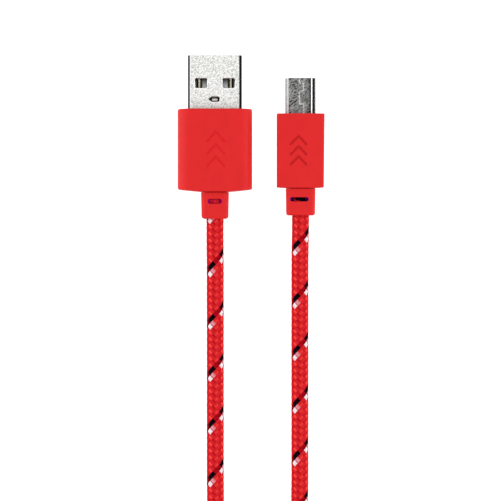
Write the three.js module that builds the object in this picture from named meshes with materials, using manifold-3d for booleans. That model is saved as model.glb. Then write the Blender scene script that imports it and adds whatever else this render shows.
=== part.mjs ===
// A charging cable: a wide flat plug and a small plug on the two ends of one braided cord.
// Millimetres, +Z up. The cable lies flat on the plane z = 0 with both plugs pointing along +Y.
// The origin is at the bottom centre of the box that holds the two plugs.
import * as THREE from 'three';
import { mergeVertices } from 'three/addons/utils/BufferGeometryUtils.js';
import Module from 'manifold-3d';

// ---- Driving dimensions ----------------------------------------------------------------------

const GAP = 0.15; // between pieces that touch
const FACE_GAP = 0.3; // between the cord's solids, end to end

const CORD_RADIUS = 1.95;
const CORD_BORE = CORD_RADIUS + 0.12; // hole that the cord passes through
const CORD_SIDES = 8;

// Wide plug. Across is x from its axis, up is z from its axis.
const WIDE = {
  x: -8.04,
  z: 4.0,
  tipY: 18.15,
  housingFrontY: 6.26,
  housingSideY: -11.7,
  housingRearY: -12.15,
  housingWidth: 16.6,
  housingRearWidth: 16.6,
  housingHeight: 8.0,
  housingRound: 1.5,
  shellHalfWidth: 6.0,
  shellHalfHeight: 2.25,
  shellRearY: -0.6,
  wall: 0.3,
  bootEndY: -18.15,
  bootWidth: 6.2,
  bootEndWidth: 5.95,
  bootHeight: 5.6,
  slotY: -14.29,
  slotWidth: 3.2,
  slotLength: 1.14,
};

// Small plug, in the same terms. Its shell is a flat D: the face that looks up is the narrow one.
const SMALL = {
  x: 11.02,
  z: 3.4,
  tipY: 13.23,
  housingFrontY: 5.23,
  housingSideY: -11.14,
  housingRearY: -11.29,
  housingWidth: 10.6,
  housingRearWidth: 10.3,
  housingHeight: 6.8,
  housingRound: 1.1,
  shellHalfWidth: 3.42,
  shellTopHalfWidth: 2.5,
  shellHalfHeight: 0.925,
  shellRearY: 0.3,
  wall: 0.2,
  bootEndY: -17.39,
  bootWidth: 6.6,
  bootEndWidth: 6.4,
  bootHeight: 5.6,
  slotY: -13.83,
  slotWidth: 4.1,
  slotLength: 1.0,
};

// Windows in the wide plug's shell, and the half-moon hole in its upper face.
const WINDOW_X = 3.07;
const WINDOW_Y = 11.95;
const WINDOW_WIDTH = 2.77;
const WINDOW_LENGTH = 2.16;
const WINDOW_CORNER = 0.45;
const LOCK_HOLE_X = -0.19;
const LOCK_HOLE_Y = 8.46; // where the hole is widest
const LOCK_HOLE_HALF_WIDTH = 1.2;
const LOCK_HOLE_RISE = 0.59; // of its arched front edge
const LOCK_HOLE_DROP = 0.58; // to its flat rear edge
const LOCK_HOLE_REAR_HALF_WIDTH = 0.68;

// Contacts: distance of each from the plug's axis, and the y of its front end.
const WIDE_CONTACTS = [
  { name: 'power', x: -3.5, frontY: 16.9 },
  { name: 'data_minus', x: -1.0, frontY: 15.9 },
  { name: 'data_plus', x: 1.0, frontY: 15.9 },
  { name: 'ground', x: 3.5, frontY: 16.9 },
];
const WIDE_CONTACT_WIDTH = 0.8;
const WIDE_CONTACT_THICK = 0.2;
const WIDE_CONTACT_TOP = -0.15;
const WIDE_GROOVE_WIDTH = 1.4;
const SMALL_CONTACTS = [
  { name: 'power', x: -1.3, frontY: 12.5 },
  { name: 'data_minus', x: -0.65, frontY: 12.2 },
  { name: 'data_plus', x: 0, frontY: 12.2 },
  { name: 'sense', x: 0.65, frontY: 12.2 },
  { name: 'ground', x: 1.3, frontY: 12.5 },
];
const SMALL_CONTACT_WIDTH = 0.36;
const SMALL_CONTACT_THICK = 0.15;

// Spring latches of the small plug: two arms that turn about an axis along x at their rear end.
const LATCH_X = 2.35;
const LATCH_WIDTH = 0.5;
const LATCH_REAR_Y = 3.6;
const LATCH_FRONT_Y = 12.0;
const LATCH_TOP = -0.22;
const LATCH_THICK = 0.23;
const HOOK_REAR_Y = 10.4;
const HOOK_BOTTOM = -1.3;

// Wires: diameter, and their square of places in the cut end of the cord.
const WIDE_WIRE_RADIUS = 0.45;
const SMALL_WIRE_RADIUS = 0.26;
const WIRE_SQUARE = 0.62;
const WIRE_SIDES = 6;

// The cord's way between the plugs. Points are centres, in the object's own frame.
const WIDE_CORD_ROUTE = [
  [-8.04, -18.45, 4.0],
  [-8.04, -22, 4.0],
  [-8.0, -28, 3.75],
  [-8.0, -34, 3.2],
  [-8.0, -40, 2.55],
  [-8.0, -46, 2.1],
  [-8.0, -52, 1.95],
  [-8.0, -60, 1.95],
  [-8.0, -68, 1.95],
  [-8.0, -76, 1.95],
  [-8.0, -83.7, 1.95],
  [-8.36, -87.0, 2.1],
  [-9.43, -90.2, 2.4],
  [-11.16, -93.0, 2.8],
  [-13.46, -95.43, 3.1],
];
const SMALL_CORD_ROUTE = [
  [11.02, -17.69, 3.4],
  [11.0, -21, 3.4],
  [10.9, -27, 3.2],
  [10.9, -33, 2.8],
  [10.9, -39, 2.3],
  [10.9, -45, 2.0],
  [10.9, -52, 1.95],
  [10.9, -60, 1.95],
  [10.9, -68, 1.95],
  [10.9, -76, 1.95],
  [10.9, -82.5, 2.05],
  [11.29, -86.0, 2.4],
  [12.43, -89.4, 2.9],
  [14.27, -92.4, 3.4],
  [16.72, -95.0, 3.83],
];

// The stored length of cord: a round bundle of six turns, three cords wide and high.
const COIL_X = 1.45;
const COIL_Y = -113.2;
const COIL_MEAN_RADIUS = 20.4;
const COIL_TURN_OFFSET = 3.95; // from the middle of the bundle to each turn's centreline
const COIL_HEIGHT = 2 * (COIL_TURN_OFFSET + CORD_RADIUS);
const COIL_CORNER = 3.4;
const COIL_SEGMENTS = 48;

// The strap that ties the coil, on its far side.
const TIE_WIDTH = 8;
const TIE_THICK = 0.45;
const TIE_CORNER = 3.8;

// ---- Materials -------------------------------------------------------------------------------

function material(color, roughness, metalness) {
  return new THREE.MeshStandardMaterial({ color, roughness, metalness });
}

const redPlastic = material(0xd92b2d, 0.55, 0);
const redBraid = material(0xc81f28, 0.85, 0);
const brightSteel = material(0xd8d8d4, 0.35, 1);
const darkSteel = material(0x7c7c7c, 0.4, 1);
const goldPlate = material(0xd9b45a, 0.3, 1);
const blackPlastic = material(0x16161a, 0.5, 0);
const clearMould = material(0xd9d6cc, 0.6, 0);
const tieCloth = material(0x1c1c1e, 0.9, 0);
const wireColours = {
  power: material(0xb01818, 0.5, 0),
  data_minus: material(0xe8e8e4, 0.5, 0),
  data_plus: material(0x1f8a3c, 0.5, 0),
  ground: material(0x141414, 0.5, 0),
};

// ---- Solids ----------------------------------------------------------------------------------

const wasm = await Module();
wasm.setup();

function solid(geometry) {
  const bare = geometry.clone();
  bare.deleteAttribute('normal');
  bare.deleteAttribute('uv');
  const merged = mergeVertices(bare, 1e-4);
  return new wasm.Manifold(new wasm.Mesh({
    numProp: 3,
    vertProperties: merged.attributes.position.array,
    triVerts: Uint32Array.from(merged.index.array),
  }));
}

function geometryOf(body) {
  const mesh = body.getMesh();
  const geometry = new THREE.BufferGeometry();
  geometry.setAttribute('position', new THREE.Float32BufferAttribute(mesh.vertProperties, 3));
  geometry.setIndex(new THREE.Uint32BufferAttribute(mesh.triVerts, 1));
  geometry.computeVertexNormals();
  return geometry;
}

function box(low, high) {
  const size = high.map((value, i) => value - low[i]);
  const geometry = new THREE.BoxGeometry(...size);
  geometry.translate(...low.map((value, i) => value + size[i] / 2));
  return solid(geometry);
}

// An outline in (x, z), drawn out along y.
function prismAlongY(outline, lowY, highY, curveSegments = 4) {
  const options = { depth: highY - lowY, bevelEnabled: false, curveSegments };
  const geometry = new THREE.ExtrudeGeometry(outline, options);
  geometry.rotateX(Math.PI / 2);
  geometry.translate(0, highY, 0);
  return solid(geometry);
}

// An outline in (x, y), drawn out along z.
function prismAlongZ(outline, lowZ, highZ, curveSegments = 4) {
  const options = { depth: highZ - lowZ, bevelEnabled: false, curveSegments };
  const geometry = new THREE.ExtrudeGeometry(outline, options);
  geometry.translate(0, 0, lowZ);
  return solid(geometry);
}

// An outline in (y, z), drawn out along x.
function prismAlongX(outline, lowX, highX) {
  const options = { depth: highX - lowX, bevelEnabled: false, curveSegments: 4 };
  const geometry = new THREE.ExtrudeGeometry(outline, options);
  const turn = new THREE.Matrix4().makeBasis(
    new THREE.Vector3(0, 1, 0),
    new THREE.Vector3(0, 0, 1),
    new THREE.Vector3(1, 0, 0),
  );
  geometry.applyMatrix4(turn);
  geometry.translate(lowX, 0, 0);
  return solid(geometry);
}

function rodAlongY(x, z, radius, lowY, highY, sides) {
  const geometry = new THREE.CylinderGeometry(radius, radius, highY - lowY, sides);
  geometry.rotateY(Math.PI / sides);
  geometry.translate(x, (lowY + highY) / 2, z);
  return solid(geometry);
}

function tube(points, radius, sides, steps) {
  const outline = new THREE.Shape();
  for (let i = 0; i < sides; i += 1) {
    const angle = (2 * Math.PI * (i + 0.5)) / sides;
    const corner = [radius * Math.cos(angle), radius * Math.sin(angle)];
    if (i === 0) outline.moveTo(...corner);
    else outline.lineTo(...corner);
  }
  outline.closePath();
  const curve = new THREE.CatmullRomCurve3(points.map((point) => new THREE.Vector3(...point)));
  return solid(new THREE.ExtrudeGeometry(outline, { steps, extrudePath: curve }));
}

function polygon(points) {
  return new THREE.Shape(points.map((point) => new THREE.Vector2(...point)));
}

function roundedRectangle(halfWidth, halfHeight, radius, centreX = 0, centreY = 0) {
  const shape = new THREE.Shape();
  const corners = [[1, 1, 0], [-1, 1, 90], [-1, -1, 180], [1, -1, 270]];
  for (const [sideX, sideY, start] of corners) {
    const from = THREE.MathUtils.degToRad(start);
    shape.absarc(
      centreX + sideX * (halfWidth - radius),
      centreY + sideY * (halfHeight - radius),
      radius, from, from + Math.PI / 2,
    );
  }
  shape.closePath();
  return shape;
}

// ---- Plug pieces, each in its plug's own frame -----------------------------------------------

// The housing's outside: a rounded section, cut to a plan whose rear edge bows out.
function housingBlock(plug) {
  const halfFront = plug.housingWidth / 2;
  const halfRear = plug.housingRearWidth / 2;
  const section = roundedRectangle(halfFront, plug.housingHeight / 2, plug.housingRound);
  const block = prismAlongY(section, plug.housingRearY - 1, plug.housingFrontY, 5);
  const plan = new THREE.Shape();
  plan.moveTo(-halfFront - 0.01, plug.housingFrontY + 1);
  plan.lineTo(-halfRear, plug.housingSideY);
  plan.quadraticCurveTo(0, 2 * plug.housingRearY - plug.housingSideY, halfRear, plug.housingSideY);
  plan.lineTo(halfFront + 0.01, plug.housingFrontY + 1);
  plan.closePath();
  return block.intersect(prismAlongZ(plan, -plug.housingHeight, plug.housingHeight, 10));
}

const STEM_HALF = 2.6; // the square stem that holds the boot in the housing
const STEM_LENGTH = 1.9;
const BOOT_GAP = 0.12; // between the housing's rear face and the boot

function housing(plug, frontCut, cavityHalfWidth, cavityHalfHeight, cavityFrontY, cavityRearY) {
  const stemFrontY = plug.housingRearY - BOOT_GAP + STEM_LENGTH + GAP;
  const half = STEM_HALF + GAP;
  return housingBlock(plug)
    .subtract(frontCut)
    .subtract(box(
      [-cavityHalfWidth, cavityRearY, -cavityHalfHeight],
      [cavityHalfWidth, cavityFrontY, cavityHalfHeight],
    ))
    .subtract(rodAlongY(0, 0, CORD_BORE, plug.housingRearY - 2, cavityRearY + 1, 16))
    .subtract(box([-half, plug.housingRearY - 2, -half], [half, stemFrontY, half]));
}

// The strain relief: a tapered sleeve with a slot above and below, and a stem into the housing.
function strainRelief(plug) {
  const frontY = plug.housingRearY - BOOT_GAP;
  const halfHeight = plug.bootHeight / 2;
  const sleeve = prismAlongY(
    roundedRectangle(plug.bootWidth / 2, halfHeight, 1.2), plug.bootEndY, frontY,
  );
  const halfEnd = plug.bootEndWidth / 2;
  const corner = 0.7;
  const plan = polygon([
    [-plug.bootWidth / 2 - 0.01, frontY + 0.1],
    [-halfEnd, plug.bootEndY + corner],
    [-halfEnd + corner, plug.bootEndY - 0.01],
    [halfEnd - corner, plug.bootEndY - 0.01],
    [halfEnd, plug.bootEndY + corner],
    [plug.bootWidth / 2 + 0.01, frontY + 0.1],
  ]);
  const stem = box([-STEM_HALF, frontY - 0.5, -STEM_HALF], [STEM_HALF, frontY + STEM_LENGTH, STEM_HALF]);
  const slotRound = plug.slotLength / 2 - 0.01;
  const slotPlan = roundedRectangle(
    plug.slotWidth / 2, plug.slotLength / 2, slotRound, 0, plug.slotY,
  );
  const slot = prismAlongZ(slotPlan, -halfHeight - 1, halfHeight + 1);
  return sleeve
    .intersect(prismAlongZ(plan, -halfHeight - 1, halfHeight + 1))
    .add(stem)
    .subtract(rodAlongY(0, 0, CORD_BORE, plug.bootEndY - 1, frontY + STEM_LENGTH + 1, 16))
    .subtract(slot);
}

function cordEnd(frontY, endY) {
  return rodAlongY(0, 0, CORD_RADIUS, endY, frontY, CORD_SIDES);
}

// A contact seen from the side: a flat strip whose front end dips into the plastic.
function contactStrip(x, width, thick, top, frontY, rearY, extra = 0) {
  const dip = 3 * thick;
  const bottom = top - thick;
  return prismAlongX(polygon([
    [rearY - extra, bottom - extra],
    [frontY - dip, bottom - extra],
    [frontY + extra, bottom - dip - extra],
    [frontY + extra, top - dip + extra],
    [frontY - dip, top + extra],
    [rearY - extra, top + extra],
  ]), x - width / 2 - extra, x + width / 2 + extra);
}

function wires(contacts, tailTop, tailY, radius, endY) {
  const centre = tailTop + radius + 0.06;
  const used = contacts.filter((contact) => contact.name in wireColours);
  return used.map(({ name, x }) => {
    const outer = name === 'power' || name === 'ground';
    const isLeft = name === 'power' || name === 'data_minus';
    const placeX = isLeft ? -WIRE_SQUARE : WIRE_SQUARE;
    const placeZ = outer ? -WIRE_SQUARE : WIRE_SQUARE;
    const straightY = tailY - 1.8;
    const bendY = (straightY + endY) / 2;
    const points = [
      [x, tailY, centre],
      [x, straightY, centre],
      [(x + placeX) / 2, bendY, (centre + placeZ) / 2],
      [placeX, endY + 1.2, placeZ],
      [placeX, endY, placeZ],
    ];
    const make = (extra) => tube(points, radius + extra, WIRE_SIDES, 10);
    return { name, body: make(0), channel: make(0.08) };
  });
}

function cutWires(mould, wireList) {
  return wireList.reduce((left, wire) => left.subtract(wire.channel), mould);
}

// ---- Wide plug -------------------------------------------------------------------------------

const WIDE_TONGUE_TOP = -0.1;
const WIDE_BLOCK_FRONT_Y = 6.0;
const WIDE_TAIL_Y = -2.3;
const WIDE_CORD_FRONT_Y = -8.5;
const WIDE_CAVITY_REAR_Y = -9.55;

function wideShell() {
  const { shellHalfWidth, shellHalfHeight, wall, shellRearY, tipY } = WIDE;
  const outside = prismAlongY(roundedRectangle(shellHalfWidth, shellHalfHeight, 0.55), shellRearY, tipY);
  const inside = prismAlongY(
    roundedRectangle(shellHalfWidth - wall, shellHalfHeight - wall, 0.3), shellRearY - 1, tipY + 1,
  );
  let shell = outside.subtract(inside);
  for (const side of [-1, 1]) {
    const window = roundedRectangle(
      WINDOW_WIDTH / 2, WINDOW_LENGTH / 2, WINDOW_CORNER, side * WINDOW_X, WINDOW_Y,
    );
    shell = shell.subtract(prismAlongZ(window, -3, 3, 3));
  }
  const lockHole = new THREE.Shape();
  lockHole.moveTo(LOCK_HOLE_X - LOCK_HOLE_HALF_WIDTH, LOCK_HOLE_Y);
  lockHole.lineTo(LOCK_HOLE_X - LOCK_HOLE_REAR_HALF_WIDTH, LOCK_HOLE_Y - LOCK_HOLE_DROP);
  lockHole.lineTo(LOCK_HOLE_X + LOCK_HOLE_REAR_HALF_WIDTH, LOCK_HOLE_Y - LOCK_HOLE_DROP);
  lockHole.lineTo(LOCK_HOLE_X + LOCK_HOLE_HALF_WIDTH, LOCK_HOLE_Y);
  lockHole.quadraticCurveTo(
    LOCK_HOLE_X, LOCK_HOLE_Y + 2 * LOCK_HOLE_RISE, LOCK_HOLE_X - LOCK_HOLE_HALF_WIDTH, LOCK_HOLE_Y,
  );
  return shell.subtract(prismAlongZ(lockHole, 0, 3, 8));
}

function wideContact(contact, extra = 0) {
  return contactStrip(
    contact.x, WIDE_CONTACT_WIDTH, WIDE_CONTACT_THICK, WIDE_CONTACT_TOP,
    contact.frontY, WIDE_TAIL_Y, extra,
  );
}

// The open channel in the tongue that a contact lies in.
function wideGroove(contact) {
  const half = WIDE_GROOVE_WIDTH / 2;
  const floor = WIDE_CONTACT_TOP - WIDE_CONTACT_THICK - 0.05;
  return box([contact.x - half, WIDE_BLOCK_FRONT_Y, floor], [contact.x + half, contact.frontY + 0.2, 0]);
}

// A tongue under the contacts, with a full block behind it that the contacts pass through.
function wideInsulator() {
  const halfWidth = WIDE.shellHalfWidth - WIDE.wall - GAP;
  const halfHeight = WIDE.shellHalfHeight - WIDE.wall - GAP;
  const tongue = box([-halfWidth, WIDE_TAIL_Y - 0.3, -halfHeight], [halfWidth, 17.6, WIDE_TONGUE_TOP]);
  const block = box(
    [-halfWidth, WIDE.shellRearY + 0.1, -halfHeight], [halfWidth, WIDE_BLOCK_FRONT_Y, halfHeight],
  );
  let body = tongue.add(block);
  for (const contact of WIDE_CONTACTS) {
    body = body.subtract(wideContact(contact, 0.05)).subtract(wideGroove(contact));
  }
  return body;
}

// One half of the rear shield: a pressed tray with a half-round exit for the cord.
function wideRearShield(side) {
  const halfWidth = 5.95;
  const height = 2.4;
  const wall = 0.25;
  const seam = 0.06;
  const rearY = -9.3;
  const frontY = WIDE.shellRearY - FACE_GAP;
  const tray = box([-halfWidth, rearY, seam], [halfWidth, frontY, height])
    .subtract(box([-halfWidth + wall, rearY + wall, -1], [halfWidth - wall, frontY + 1, height - wall]))
    .subtract(rodAlongY(0, 0, CORD_BORE, rearY - 1, rearY + 1, 16));
  return side > 0 ? tray : tray.rotate([0, 180, 0]);
}

const wideWires = wires(WIDE_CONTACTS, WIDE_CONTACT_TOP, -0.9, WIDE_WIRE_RADIUS, WIDE_CORD_FRONT_Y + 0.2);

function wideInnerMould() {
  const block = box([-5.4, WIDE_CORD_FRONT_Y + 0.3, -1.95], [5.4, -2.85, 1.95]);
  return cutWires(block, wideWires);
}

function wideHousing() {
  const frontCut = box(
    [-WIDE.shellHalfWidth - GAP, 0, -WIDE.shellHalfHeight - GAP],
    [WIDE.shellHalfWidth + GAP, WIDE.housingFrontY + 1, WIDE.shellHalfHeight + GAP],
  );
  return housing(WIDE, frontCut, 6.15, 2.6, 1, WIDE_CAVITY_REAR_Y);
}

// ---- Small plug ------------------------------------------------------------------------------

const SMALL_TONGUE_TOP = -0.05;
const SMALL_TAIL_Y = -1.4;
const SMALL_CONTACT_TOP = 0.02;
const SMALL_CORD_FRONT_Y = -7.9;
const SMALL_CAVITY_REAR_Y = -8.4;

// The shell's D outline in (x, z), moved in or out by a distance.
function smallOutline(outward) {
  const { shellHalfWidth, shellTopHalfWidth, shellHalfHeight } = SMALL;
  const bottomCorner = 0.2;
  const slopeFootZ = -0.1;
  const halfWidth = shellHalfWidth + outward;
  const halfHeight = shellHalfHeight + outward;
  const topHalf = shellTopHalfWidth + 0.4 * outward;
  const footZ = slopeFootZ + 0.4 * outward;
  return polygon([
    [-halfWidth + bottomCorner, -halfHeight],
    [halfWidth - bottomCorner, -halfHeight],
    [halfWidth, -halfHeight + bottomCorner],
    [halfWidth, footZ],
    [topHalf, halfHeight],
    [-topHalf, halfHeight],
    [-halfWidth, footZ],
    [-halfWidth, -halfHeight + bottomCorner],
  ]);
}

function smallShell() {
  const { wall, shellRearY, tipY, shellHalfHeight } = SMALL;
  let shell = prismAlongY(smallOutline(0), shellRearY, tipY)
    .subtract(prismAlongY(smallOutline(-wall), shellRearY - 1, tipY + 1));
  for (const side of [-1, 1]) {
    const centre = side * LATCH_X;
    shell = shell.subtract(box(
      [centre - 0.42, HOOK_REAR_Y - 0.4, -shellHalfHeight - 1],
      [centre + 0.42, LATCH_FRONT_Y + 0.3, -shellHalfHeight + wall + 0.1],
    ));
  }
  return shell;
}

function smallContact(contact, extra = 0) {
  return contactStrip(
    contact.x, SMALL_CONTACT_WIDTH, SMALL_CONTACT_THICK, SMALL_CONTACT_TOP,
    contact.frontY, SMALL_TAIL_Y, extra,
  );
}

function smallInsulator() {
  const bottom = -SMALL.shellHalfHeight + SMALL.wall + 0.08;
  const tongueHalf = LATCH_X - LATCH_WIDTH / 2 - 0.2;
  const blockFrontY = 5.0;
  const blockRearY = SMALL.shellRearY - 0.4;
  const tongue = box([-tongueHalf, SMALL_TAIL_Y - 0.2, bottom], [tongueHalf, 12.95, SMALL_TONGUE_TOP]);
  let body = prismAlongY(smallOutline(-SMALL.wall - 0.08), blockRearY, blockFrontY).add(tongue);
  for (const side of [-1, 1]) {
    const centre = side * LATCH_X;
    const half = LATCH_WIDTH / 2 + 0.12;
    body = body.subtract(box([centre - half, LATCH_REAR_Y - 0.2, -1], [centre + half, 6, 0.1]));
  }
  return SMALL_CONTACTS.reduce((left, contact) => left.subtract(smallContact(contact, 0.04)), body);
}

function latch(side) {
  const bottom = LATCH_TOP - LATCH_THICK;
  const centre = side * LATCH_X;
  return prismAlongX(polygon([
    [LATCH_REAR_Y, bottom],
    [HOOK_REAR_Y, bottom],
    [HOOK_REAR_Y + 0.1, HOOK_BOTTOM],
    [HOOK_REAR_Y + 0.6, HOOK_BOTTOM],
    [LATCH_FRONT_Y, bottom],
    [LATCH_FRONT_Y, LATCH_TOP],
    [LATCH_REAR_Y, LATCH_TOP],
  ]), centre - LATCH_WIDTH / 2, centre + LATCH_WIDTH / 2);
}

function smallRearShield() {
  const halfWidth = 3.6;
  const halfHeight = 1.7;
  const wall = 0.2;
  const frontY = SMALL.shellRearY - FACE_GAP;
  const rearY = -7.6;
  return box([-halfWidth, rearY, -halfHeight], [halfWidth, frontY, halfHeight]).subtract(box(
    [-halfWidth + wall, rearY - 1, -halfHeight + wall],
    [halfWidth - wall, frontY + 1, halfHeight - wall],
  ));
}

const smallWires = wires(
  SMALL_CONTACTS, SMALL_CONTACT_TOP, -0.3, SMALL_WIRE_RADIUS, SMALL_CORD_FRONT_Y + 0.2,
);

function smallInnerMould() {
  const block = box([-3.3, SMALL_CORD_FRONT_Y + 0.3, -1.4], [3.3, -1.9, 1.4]);
  return cutWires(block, smallWires);
}

function smallHousing() {
  const frontCut = prismAlongY(smallOutline(0.12), -0.5, SMALL.housingFrontY + 1);
  return housing(SMALL, frontCut, 3.75, 1.85, 0.2, SMALL_CAVITY_REAR_Y);
}

// ---- Cord and tie, in the object's own frame -------------------------------------------------

const coilOuter = COIL_MEAN_RADIUS + COIL_HEIGHT / 2;
const coilInner = COIL_MEAN_RADIUS - COIL_HEIGHT / 2;

// The strap's loop in (y, z) around one side of the coil.
function tieLoop(outward) {
  const nearY = COIL_Y - coilInner + 1.0;
  const farY = COIL_Y - coilOuter - 0.7;
  const halfLength = (nearY - farY) / 2;
  const halfHeight = COIL_HEIGHT / 2 + 0.25;
  const centreZ = halfHeight + 0.02;
  const outer = roundedRectangle(
    halfLength + outward, halfHeight + outward, TIE_CORNER, (nearY + farY) / 2, centreZ,
  );
  return prismAlongX(outer, COIL_X - TIE_WIDTH / 2 - outward, COIL_X + TIE_WIDTH / 2 + outward);
}

function tieHollow(inward) {
  const nearY = COIL_Y - coilInner + 1.0 - TIE_THICK - inward;
  const farY = COIL_Y - coilOuter - 0.7 + TIE_THICK + inward;
  const halfHeight = COIL_HEIGHT / 2 + 0.25 - TIE_THICK - inward;
  const hollow = roundedRectangle(
    (nearY - farY) / 2, halfHeight, TIE_CORNER - TIE_THICK,
    (nearY + farY) / 2, COIL_HEIGHT / 2 + 0.27,
  );
  return prismAlongX(hollow, COIL_X - TIE_WIDTH, COIL_X + TIE_WIDTH);
}

function cableTie() {
  return tieLoop(0).subtract(tieHollow(0));
}

function coilRing() {
  const profile = [
    [coilInner + COIL_CORNER, 0],
    [coilOuter - COIL_CORNER, 0],
    [coilOuter, COIL_CORNER],
    [coilOuter, COIL_HEIGHT - COIL_CORNER],
    [coilOuter - COIL_CORNER, COIL_HEIGHT],
    [coilInner + COIL_CORNER, COIL_HEIGHT],
    [coilInner, COIL_HEIGHT - COIL_CORNER],
    [coilInner, COIL_CORNER],
    [coilInner + COIL_CORNER, 0],
  ];
  const points = profile.map((point) => new THREE.Vector2(...point));
  const geometry = new THREE.LatheGeometry(points, COIL_SEGMENTS);
  geometry.rotateX(Math.PI / 2);
  geometry.translate(COIL_X, COIL_Y, 0);
  return solid(geometry);
}

function cordCoil() {
  const groove = tieLoop(0.15).subtract(tieHollow(0.15));
  return coilRing().subtract(groove);
}

function cordRun(route) {
  const keepOut = new THREE.CylinderGeometry(coilOuter + FACE_GAP, coilOuter + FACE_GAP, 30, 64);
  keepOut.rotateX(Math.PI / 2);
  keepOut.translate(COIL_X, COIL_Y, 0);
  return tube(route, CORD_RADIUS, CORD_SIDES, 30).subtract(solid(keepOut));
}

// ---- Assembly --------------------------------------------------------------------------------

const cable = new THREE.Group();

function place(parent, name, body, finish) {
  const mesh = new THREE.Mesh(geometryOf(body), finish);
  mesh.name = name;
  parent.add(mesh);
}

const widePlug = new THREE.Group();
widePlug.position.set(WIDE.x, 0, WIDE.z);
place(widePlug, 'wide_shell', wideShell(), brightSteel);
place(widePlug, 'wide_insulator', wideInsulator(), blackPlastic);
for (const contact of WIDE_CONTACTS) {
  place(widePlug, `wide_contact_${contact.name}`, wideContact(contact), goldPlate);
}
place(widePlug, 'wide_rear_shield_top', wideRearShield(1), brightSteel);
place(widePlug, 'wide_rear_shield_bottom', wideRearShield(-1), brightSteel);
place(widePlug, 'wide_inner_mould', wideInnerMould(), clearMould);
place(widePlug, 'wide_housing', wideHousing(), redPlastic);
place(widePlug, 'wide_strain_relief', strainRelief(WIDE), redPlastic);
for (const wire of wideWires) {
  place(widePlug, `wide_wire_${wire.name}`, wire.body, wireColours[wire.name]);
}
place(widePlug, 'wide_cord_end', cordEnd(WIDE_CORD_FRONT_Y, WIDE.bootEndY), redBraid);
cable.add(widePlug);

const smallPlug = new THREE.Group();
smallPlug.position.set(SMALL.x, 0, SMALL.z);
place(smallPlug, 'small_shell', smallShell(), darkSteel);
place(smallPlug, 'small_insulator', smallInsulator(), blackPlastic);
for (const contact of SMALL_CONTACTS) {
  place(smallPlug, `small_contact_${contact.name}`, smallContact(contact), goldPlate);
}
place(smallPlug, 'small_latch_left', latch(-1), darkSteel);
place(smallPlug, 'small_latch_right', latch(1), darkSteel);
place(smallPlug, 'small_rear_shield', smallRearShield(), darkSteel);
place(smallPlug, 'small_inner_mould', smallInnerMould(), clearMould);
place(smallPlug, 'small_housing', smallHousing(), redPlastic);
place(smallPlug, 'small_strain_relief', strainRelief(SMALL), redPlastic);
for (const wire of smallWires) {
  place(smallPlug, `small_wire_${wire.name}`, wire.body, wireColours[wire.name]);
}
place(smallPlug, 'small_cord_end', cordEnd(SMALL_CORD_FRONT_Y, SMALL.bootEndY), redBraid);
cable.add(smallPlug);

place(cable, 'cord_wide_run', cordRun(WIDE_CORD_ROUTE), redBraid);
place(cable, 'cord_coil', cordCoil(), redBraid);
place(cable, 'cord_small_run', cordRun(SMALL_CORD_ROUTE), redBraid);
place(cable, 'cable_tie', cableTie(), tieCloth);

export default cable;
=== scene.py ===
"""Charging cable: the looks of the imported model, in its own frame, in metres."""

import math
from types import SimpleNamespace

import bmesh
import bpy
import numpy as np
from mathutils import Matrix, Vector


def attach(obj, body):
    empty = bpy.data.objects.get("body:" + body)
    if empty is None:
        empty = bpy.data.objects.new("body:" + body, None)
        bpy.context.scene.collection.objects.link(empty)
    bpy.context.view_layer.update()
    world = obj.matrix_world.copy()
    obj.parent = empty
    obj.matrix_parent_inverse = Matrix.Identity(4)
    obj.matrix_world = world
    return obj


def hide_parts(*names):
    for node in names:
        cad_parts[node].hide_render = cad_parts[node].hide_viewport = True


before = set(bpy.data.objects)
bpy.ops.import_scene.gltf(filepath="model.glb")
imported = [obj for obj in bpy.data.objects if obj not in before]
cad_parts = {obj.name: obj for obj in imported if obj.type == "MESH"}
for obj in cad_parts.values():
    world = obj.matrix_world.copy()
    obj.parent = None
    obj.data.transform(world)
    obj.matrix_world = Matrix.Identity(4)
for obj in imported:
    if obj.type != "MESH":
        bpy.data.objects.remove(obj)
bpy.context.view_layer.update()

MM = 0.001
TAU = 2 * math.pi

# ---- Driving dimensions, in millimetres ----

CORD_DIAMETER = 3.9
WIDE_X, WIDE_Z = -8.04, 4.0
SMALL_X, SMALL_Z = 11.02, 3.4

# The cord's way between the plugs, as in the CAD model: centres, from each boot to the coil.
WIDE_CORD_ROUTE = [
    (-8.04, -9.06, 4.0), (-8.04, -13.0, 4.0), (-8.04, -18.45, 4.0), (-8.04, -22, 4.0),
    (-8.0, -28, 3.75), (-8.0, -34, 3.2), (-8.0, -40, 2.55), (-8.0, -46, 2.1),
    (-8.0, -52, 1.95), (-8.0, -60, 1.95), (-8.0, -68, 1.95), (-8.0, -76, 1.95),
    (-8.0, -83.7, 1.95), (-8.36, -87.0, 2.1), (-9.43, -90.2, 2.4), (-11.16, -93.0, 2.8),
]
SMALL_CORD_ROUTE = [
    (11.02, -7.9, 3.4), (11.02, -12.0, 3.4), (11.02, -17.69, 3.4), (11.0, -21, 3.4),
    (10.9, -27, 3.2), (10.9, -33, 2.8), (10.9, -39, 2.3), (10.9, -45, 2.0),
    (10.9, -52, 1.95), (10.9, -60, 1.95), (10.9, -68, 1.95), (10.9, -76, 1.95),
    (10.9, -82.5, 2.05), (11.29, -86.0, 2.4), (12.43, -89.4, 2.9), (14.27, -92.4, 3.4),
]

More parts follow.
